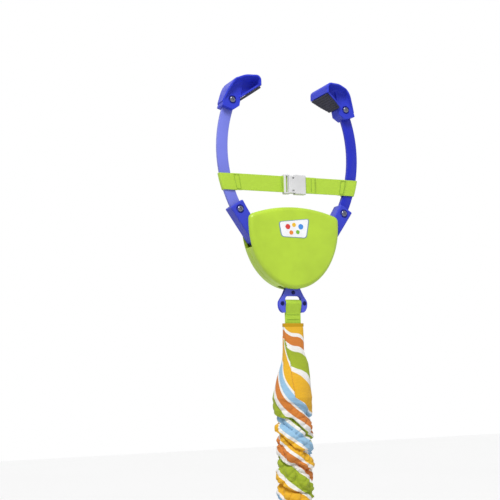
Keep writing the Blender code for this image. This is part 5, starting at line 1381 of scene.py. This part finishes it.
def make_sleeve():
    """The striped cotton sleeve over the spring: flat at its hems, taut above and crumpled below."""
    low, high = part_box("spring_sleeve")
    top, length = high.z, high.z - low.z
    drop = np.linspace(0, length, SLEEVE_ROWS)[:, None]
    turn = np.linspace(SLEEVE_SEAM, SLEEVE_SEAM + 2 * pi, SLEEVE_SIDES + 1)[None, :]
    drops, lefts, rights = zip(*SLEEVE_HALF_WIDTHS)
    left, right = np.interp(drop, drops, lefts), np.interp(drop, drops, rights)
    half, shift = (left + right) / 2, (right - left) / 2
    ends = np.minimum(ramp(drop, 0, SLEEVE_SHOULDER), ramp(length - drop, 0, SLEEVE_FOOT))
    flat = (1 - ends) ** VALLEY_POWER
    deep = half * SLEEVE_DEPTH_SHARE * (1 - flat) + SLEEVE_END_DEPTH * flat
    power = 1 / (1 + SLEEVE_SQUARENESS * flat)
    sine, cosine = np.sin(turn), np.cos(turn)
    x = half * np.sign(sine) * abs(sine) ** power
    y = -deep * np.sign(cosine) * abs(cosine) ** power
    # Across the cloth, from the line that faces the room
    across = ACROSS_SHARE * half * (turn - FACING_TURN)
    crease = np.interp(drop, *zip(*CREASE_LINE)) - across
    fold, hidden = sleeve_folds(drop, turn)
    crumple = ramp(drop, SLEEVE_SMOOTH, CRUMPLE_RUN) * ramp(length - drop, 0, SLEEVE_FOOT)
    part = fold - np.floor(fold)
    puff = ramp(part, 0, PUFF_RISE_SHARE) ** PUFF_POWER * ramp(1 - part, 0, PUFF_FALL_SHARE)
    fade = 1 - FADE_SHARE + FADE_SHARE * np.sin(2 * turn + FADE_TURN * np.floor(fold))
    relief = FOLD_DEPTH * crumple * fade * (puff - 1) + crumple * crinkles(drop, turn)
    edge = np.exp(-abs(crease) / CREASE_RUN) * np.where(crease > 0, 1, -CREASE_BACK_SHARE)
    edge *= ramp(drop, CREASE_TOP, CREASE_RISE) * ramp(CREASE_FOOT - drop, 0, CREASE_FALL)
    taut = ramp(drop, HEM, PLEAT_RISE) * (1 - ramp(drop, 0, PLEAT_FALL))
    relief += CREASE_HEIGHT * edge + PLEAT_HEIGHT * taut * waves(PLEATS, drop, turn)
    relief += COTTON_THICKNESS * ((drop < HEM) + (length - drop < HEM))
    swell = 1 + relief / np.maximum(half, SLEEVE_LEAST_HALF)
    place = np.stack((x * swell + shift, y * swell, top - drop + 0 * turn), axis=2)
    wide = SLEEVE_SIDES + 1
    faces = [
        (i * wide + k, (i + 1) * wide + k, (i + 1) * wide + k + 1, i * wide + k + 1)
        for i in range(SLEEVE_ROWS - 1) for k in range(SLEEVE_SIDES)
    ]
    mesh = bpy.data.meshes.new("sleeve")
    mesh.from_pydata(place.reshape(-1, 3).tolist(), [], faces)
    nothing = 0 * across
    keep_place(mesh, np.stack((drop + hidden, across, nothing), axis=2).reshape(-1, 3))
    upper = np.interp(drop, *zip(*UPPER_PRINT)) + hidden - across * np.interp(drop, *zip(*UPPER_SLOPES))
    lower = drop + PRINT_START + hidden - across * np.interp(drop, *zip(*LOWER_SLOPES))
    keep_place(mesh, np.stack((upper, lower, crease + nothing), axis=2).reshape(-1, 3), "print")
    sleeve = piece("sleeve_cloth", mesh, COTTON, replaced=["spring_sleeve"])
    thick = sleeve.modifiers.new("cloth", "SOLIDIFY")
    thick.thickness = COTTON_THICKNESS
    thick.offset = -1
    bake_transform(sleeve)


# Strap hub, ring, straps and seat


def ring_sizes():
    """Half the length and half the breadth of the seat ring's middle line."""
    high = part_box("seat_ring")[1]
    return high.x - RING_WIDTH / 2, high.y - RING_WIDTH / 2


def ring_distance(angle):
    half_x, half_y = ring_sizes()
    return 1 / hypot(cos(angle) / half_x, sin(angle) / half_y)


def seat_ring_mesh():
    low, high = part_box("seat_ring")
    half_x, half_y = ring_sizes()
    power = 2 / RING_SQUARENESS
    rings = []
    for i in range(RING_STATIONS):
        angle = 2 * pi * i / RING_STATIONS
        normal = Vector((cos(angle) / half_x, sin(angle) / half_y)).normalized()
        ring = []
        for k in range(RING_SECTION_POINTS):
            turn = 2 * pi * k / RING_SECTION_POINTS
            a = copysign(RING_WIDTH / 2 * abs(cos(turn)) ** power, cos(turn))
            b = copysign((high.z - low.z) / 2 * abs(sin(turn)) ** power, sin(turn))
            if abs(b) < PARTING_WIDTH:
                a -= copysign(PARTING_DEPTH, a)
            level = (low.z + high.z) / 2 + b
            ring.append((half_x * cos(angle) + normal.x * a, half_y * sin(angle) + normal.y * a, level))
        rings.append(ring)
    return loft(rings, closed=True)


def make_seat_ring():
    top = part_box("seat_ring")[1].z
    half, reach = SEAT_STRAP_WIDTH / 2 + FIT, SEAT_STRAP_THICKNESS / 2 + 2 * FIT
    cuts = []
    for _, angle in SEAT_STRAPS:
        distance = ring_distance(angle)
        low = (distance - reach, -half, top - RING_SLOT_DEPTH)
        slot = block(low, (distance + reach, half, top + CUT_OVERRUN))
        slot.transform(Matrix.Rotation(angle, 4, "Z"))
        cuts.append(("less", slot))
    piece("seat_ring_moulding", worked(seat_ring_mesh(), *cuts), SEAT_BLUE, "seat", ["seat_ring"])


def make_seat_strap(node, angle):
    """A strap from its folded, sewn stub on the hub, through the hub's slot, to the ring."""
    low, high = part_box(node)
    hub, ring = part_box("strap_hub")[0].z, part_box("seat_ring")[1].z
    t, half = SEAT_STRAP_THICKNESS, SEAT_STRAP_WIDTH / 2
    start, end = HUB_SLOT_RADIUS, ring_distance(angle)
    run = [(start + (end - start) * share, 0, hub + (ring - hub) * share) for share in STRAP_RUN_SHARES]
    line = [(start, 0, high.z - t / 2), (start, 0, HUB_DISC_TOP)]
    line += smooth_line([*run, (end, 0, low.z)], STRAP_RUN_STEPS)
    stub = [
        (start + t, 0, HUB_DISC_TOP + FIT), (start + t, 0, high.z - t), (start + t / 2, 0, high.z - t / 3),
        (start - t / 2, 0, high.z - t / 3), (start - t, 0, high.z - t), (start - t, 0, HUB_DISC_TOP + FIT),
    ]
    stub = smooth_line(stub, STUB_STEPS)
    whole = joined(*(band(path, (0, 1, 0), half, t) for path in (line, stub)))
    whole.transform(Matrix.Rotation(angle, 4, "Z"))
    piece(f"{node}_band", whole, WEBBING, "seat", [node])


def seat_half_sizes(share):
    """Half sizes of the seat at a share of its depth."""
    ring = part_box("seat_ring")[1]
    taper = 1 - SEAT_TAPER_SHARE * share**SEAT_TAPER_POWER
    rounded = max(share - SEAT_ROUND_START_SHARE, 0) / (1 - SEAT_ROUND_START_SHARE)
    closing = sqrt(1 - rounded**2)
    gap = RING_WIDTH + FIT
    return (ring.x - gap) * taper * closing, (ring.y - gap) * taper * closing


def leg_edge(side):
    """The line where a leg hole's ellipsoid passes through the seat's outer face."""
    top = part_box("seat_fabric")[1].z
    forward = ring_sizes()[0] / 2 * LEG_FORWARD_SHARE
    centre = Vector((-forward, side * LEG_HOLE_SPREAD / 2, top - SEAT_DEPTH + LEG_HOLE_RISE))
    sizes = (LEG_HOLE_LENGTH / 2, LEG_HOLE_SPREAD / 2 - CROTCH_HALF_WIDTH, LEG_HOLE_HEIGHT / 2)
    tilt = Matrix.Rotation(LEG_HOLE_TILT, 3, "Y")
    points = []
    for i in range(LEG_EDGE_POINTS):
        angle = 2 * pi * i / LEG_EDGE_POINTS
        outside, within = 0, pi
        for _ in range(LEG_EDGE_HALVINGS):
            lean = (outside + within) / 2
            reach = (sin(lean) * cos(angle), side * cos(lean), sin(lean) * sin(angle))
            place = centre + tilt @ Vector([part * size for part, size in zip(reach, sizes)])
            share = min((top - place.z) / SEAT_DEPTH, SEAT_LAST_SHARE)
            half_x, half_y = seat_half_sizes(share)
            if share == SEAT_LAST_SHARE or hypot(place.x / half_x, place.y / half_y) > 1:
                outside = lean
            else:
                within = lean
        points.append(tuple(place))
    return points


def points_of(mesh):
    places = np.zeros(len(mesh.vertices) * 3)
    mesh.vertices.foreach_get("co", places)
    return places.reshape(-1, 3)


def seat_seams(places):
    """How far each point is from the seat's seams, its angle round it and its drop below the rim."""
    angle = np.arctan2(places[:, 1], places[:, 0])
    gore = np.mod(angle + pi / SEAT_GORES, 2 * pi / SEAT_GORES) - pi / SEAT_GORES
    apart = abs(gore) * np.hypot(places[:, 0], places[:, 1])
    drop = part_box("seat_fabric")[1].z - places[:, 2]
    return np.minimum(apart, abs(drop - SEAT_SEAM_DROP)), angle, drop


def plumped(mesh):
    """A pad that a cloth simulation has swollen between its seams, its rim and its leg holes."""
    before = points_of(mesh)
    apart, _, drop = seat_seams(before)
    edges = np.array(leg_edge(-1) + leg_edge(1))
    near = np.min([np.linalg.norm(before - edge, axis=1) for edge in edges], axis=0)
    held = (apart < SEAM_HOLD) | (drop < SEAT_RIM_HOLD) | (near < LEG_HOLD)
    pad = added("pad", mesh)
    pad.vertex_groups.new(name="held").add(np.flatnonzero(held).tolist(), 1.0, "REPLACE")
    cloth = pad.modifiers.new("cloth", "CLOTH").settings
    cloth.use_pressure = True
    cloth.uniform_pressure_force = SEAT_PRESSURE
    cloth.effector_weights.gravity = 0
    cloth.vertex_group_mass = "held"
    for step in range(1, SIMULATION_STEPS + 1):
        bpy.context.scene.frame_set(step)
    swollen = bpy.data.meshes.new_from_object(pad.evaluated_get(bpy.context.evaluated_depsgraph_get()))
    bpy.data.objects.remove(pad)
    bpy.context.scene.frame_set(1)
    moved = points_of(swollen) - before
    reach = np.maximum(np.linalg.norm(moved, axis=1, keepdims=True), WELD)
    places = before + moved * np.minimum(1, SWELL_CAP / reach)
    swollen.vertices.foreach_set("co", places.ravel())
    return worked(swollen, ("ease", SWOLLEN_EASE), ("finer", 1))


def make_seat():
    """The padded seat: a quilted bucket of cloth with bound leg holes and a piped rim."""
    mesh = worked(welded("seat_fabric"), ("voxels", SEAT_VOXEL), ("ease", SEAT_EASE))
    mesh = plumped(mesh)
    seat = piece("seat_cushion", mesh, SEAT_CLOTH, "seat", ["seat_fabric"], angle=pi)
    places = points_of(mesh)
    normals = np.array([vertex.normal for vertex in mesh.vertices])
    apart, angle, drop = seat_seams(places)
    groove = np.exp(-((apart / SEAM_WIDTH) ** 2)) * ramp(drop, 0, SEAM_RISE)
    places -= normals * (groove * SEAM_DEPTH)[:, None]
    mesh.vertices.foreach_set("co", places.ravel())
    cloth = np.stack((drop, angle * np.hypot(places[:, 0], places[:, 1]), 0 * angle), axis=1)
    keep_place(mesh, cloth)
    half_x, half_y = seat_half_sizes(0)
    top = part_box("seat_fabric")[1].z
    rim = [(half_x * x, half_y * y, top) for x, y in circle(0, 0, 1, RIM_POINTS)]
    for name, line, radius in (
        ("left_leg_binding", leg_edge(-1), BINDING_RADIUS),
        ("right_leg_binding", leg_edge(1), BINDING_RADIUS),
        ("seat_rim_piping", rim, PIPING_RADIUS),
    ):
        piece(name, tube(line, radius, closed=True), BINDING_CLOTH, "seat")


# Label


def label_plate(name, outline, rise, thickness, material, cover):
    """A thin plate that follows the cover's face."""
    outline = np.array(outline)
    middle = np.mean(outline, axis=0)
    rings = []
    for share, lift in ((1, rise - thickness), (1, rise), *((s, rise) for s in LABEL_RINGS_SHARES)):
        ring = []
        for x, z in middle + (outline - middle) * share:
            place = cover.ray_cast(Vector((x, -HOUSING_DEPTH, z)), Vector((0, 1, 0)))[1]
            ring.append((x, place.y - lift, z))
        rings.append(ring)
    piece(name, loft(rings), material, "housing")


def rounded_outline(corners, radius):
    points = []
    for i, corner in enumerate(corners):
        here = Vector(corner)
        before = (Vector(corners[i - 1]) - here).normalized()
        after = (Vector(corners[(i + 1) % len(corners)]) - here).normalized()
        for k in range(CORNER_POINTS + 1):
            t = k / CORNER_POINTS
            a, b = here + before * radius * (1 - t) ** 2, after * radius * t**2
            points.append(tuple(a + b))
    return points


def make_label():
    cover = bpy.data.objects["front_shell"]
    middle = np.mean(np.array(LABEL_CORNERS), axis=0)
    inner = [tuple(middle + (np.array(corner) - middle) * LABEL_INNER_SHARE) for corner in LABEL_CORNERS]
    border = rounded_outline(LABEL_CORNERS, LABEL_ROUND)
    plate = rounded_outline(inner, LABEL_ROUND * LABEL_INNER_ROUND_SHARE)
    label_plate("label_border", border, BORDER_RISE, BORDER_THICKNESS, LABEL_EDGE, cover)
    label_plate("label_plate", plate, PLATE_RISE, FILM_THICKNESS, LABEL_WHITE, cover)
    for i, (x, z, radius, ink) in enumerate(LABEL_DOTS):
        finish = moulded_plastic(f"label_ink_{i}", linear(*ink), LABEL_DOT_ROUGHNESS)
        dot = circle(x, z, radius, DOT_SIDES)
        label_plate(f"label_dot_{i}", dot, DOT_RISE, FILM_THICKNESS, finish, cover)


bpy.context.scene.view_settings.view_transform = "Standard"
make_camera()
make_world()
make_stage()
make_lamp("key", KEY_PLACE, AIM, KEY_SIZE, KEY_POWER)
make_lamp("fill", FILL_PLACE, AIM, FILL_SIZE, FILL_POWER)
make_covers()
for place in COVER_SCREWS:
    make_screw(f"cover_screw_{place}", "housing", 1, COVER_SCREW_HEAD, COVER_HEAD_HEIGHT)
for node in ("front_lever_pin", "rear_lever_pin", "yoke", "yoke_pin"):
    mesh = worked(welded(node), ("bevel", FIT))
    body = "housing" if node.endswith("lever_pin") else "yoke"
    piece(f"{node}_steel", mesh, INNER_STEEL, body, [node])
# The front bar takes the paint with painted light, the rear bar the same paint with painted shade.
make_arm("front", -1, FRONT_ARM_PAINTED_LIGHT)
make_arm("rear", 1, REAR_ARM_PAINTED_SHADE)
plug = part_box("buckle_plug")
make_buckle((plug[0].y + plug[1].y) / 2)
make_hanger()
make_webbing_loop("upper_webbing", "suspension")
make_webbing_loop("lower_webbing", "seat")
wire_ring("upper_ring", "suspension")
wire_ring("lower_ring", "seat")
make_main_spring()
make_clamp_spring()
make_sleeve()
moulded("strap_hub", SEAT_BLUE, "seat", MOULD_VOXEL)
make_seat_ring()
for node, angle in SEAT_STRAPS:
    make_seat_strap(node, angle)
make_seat()
make_label()
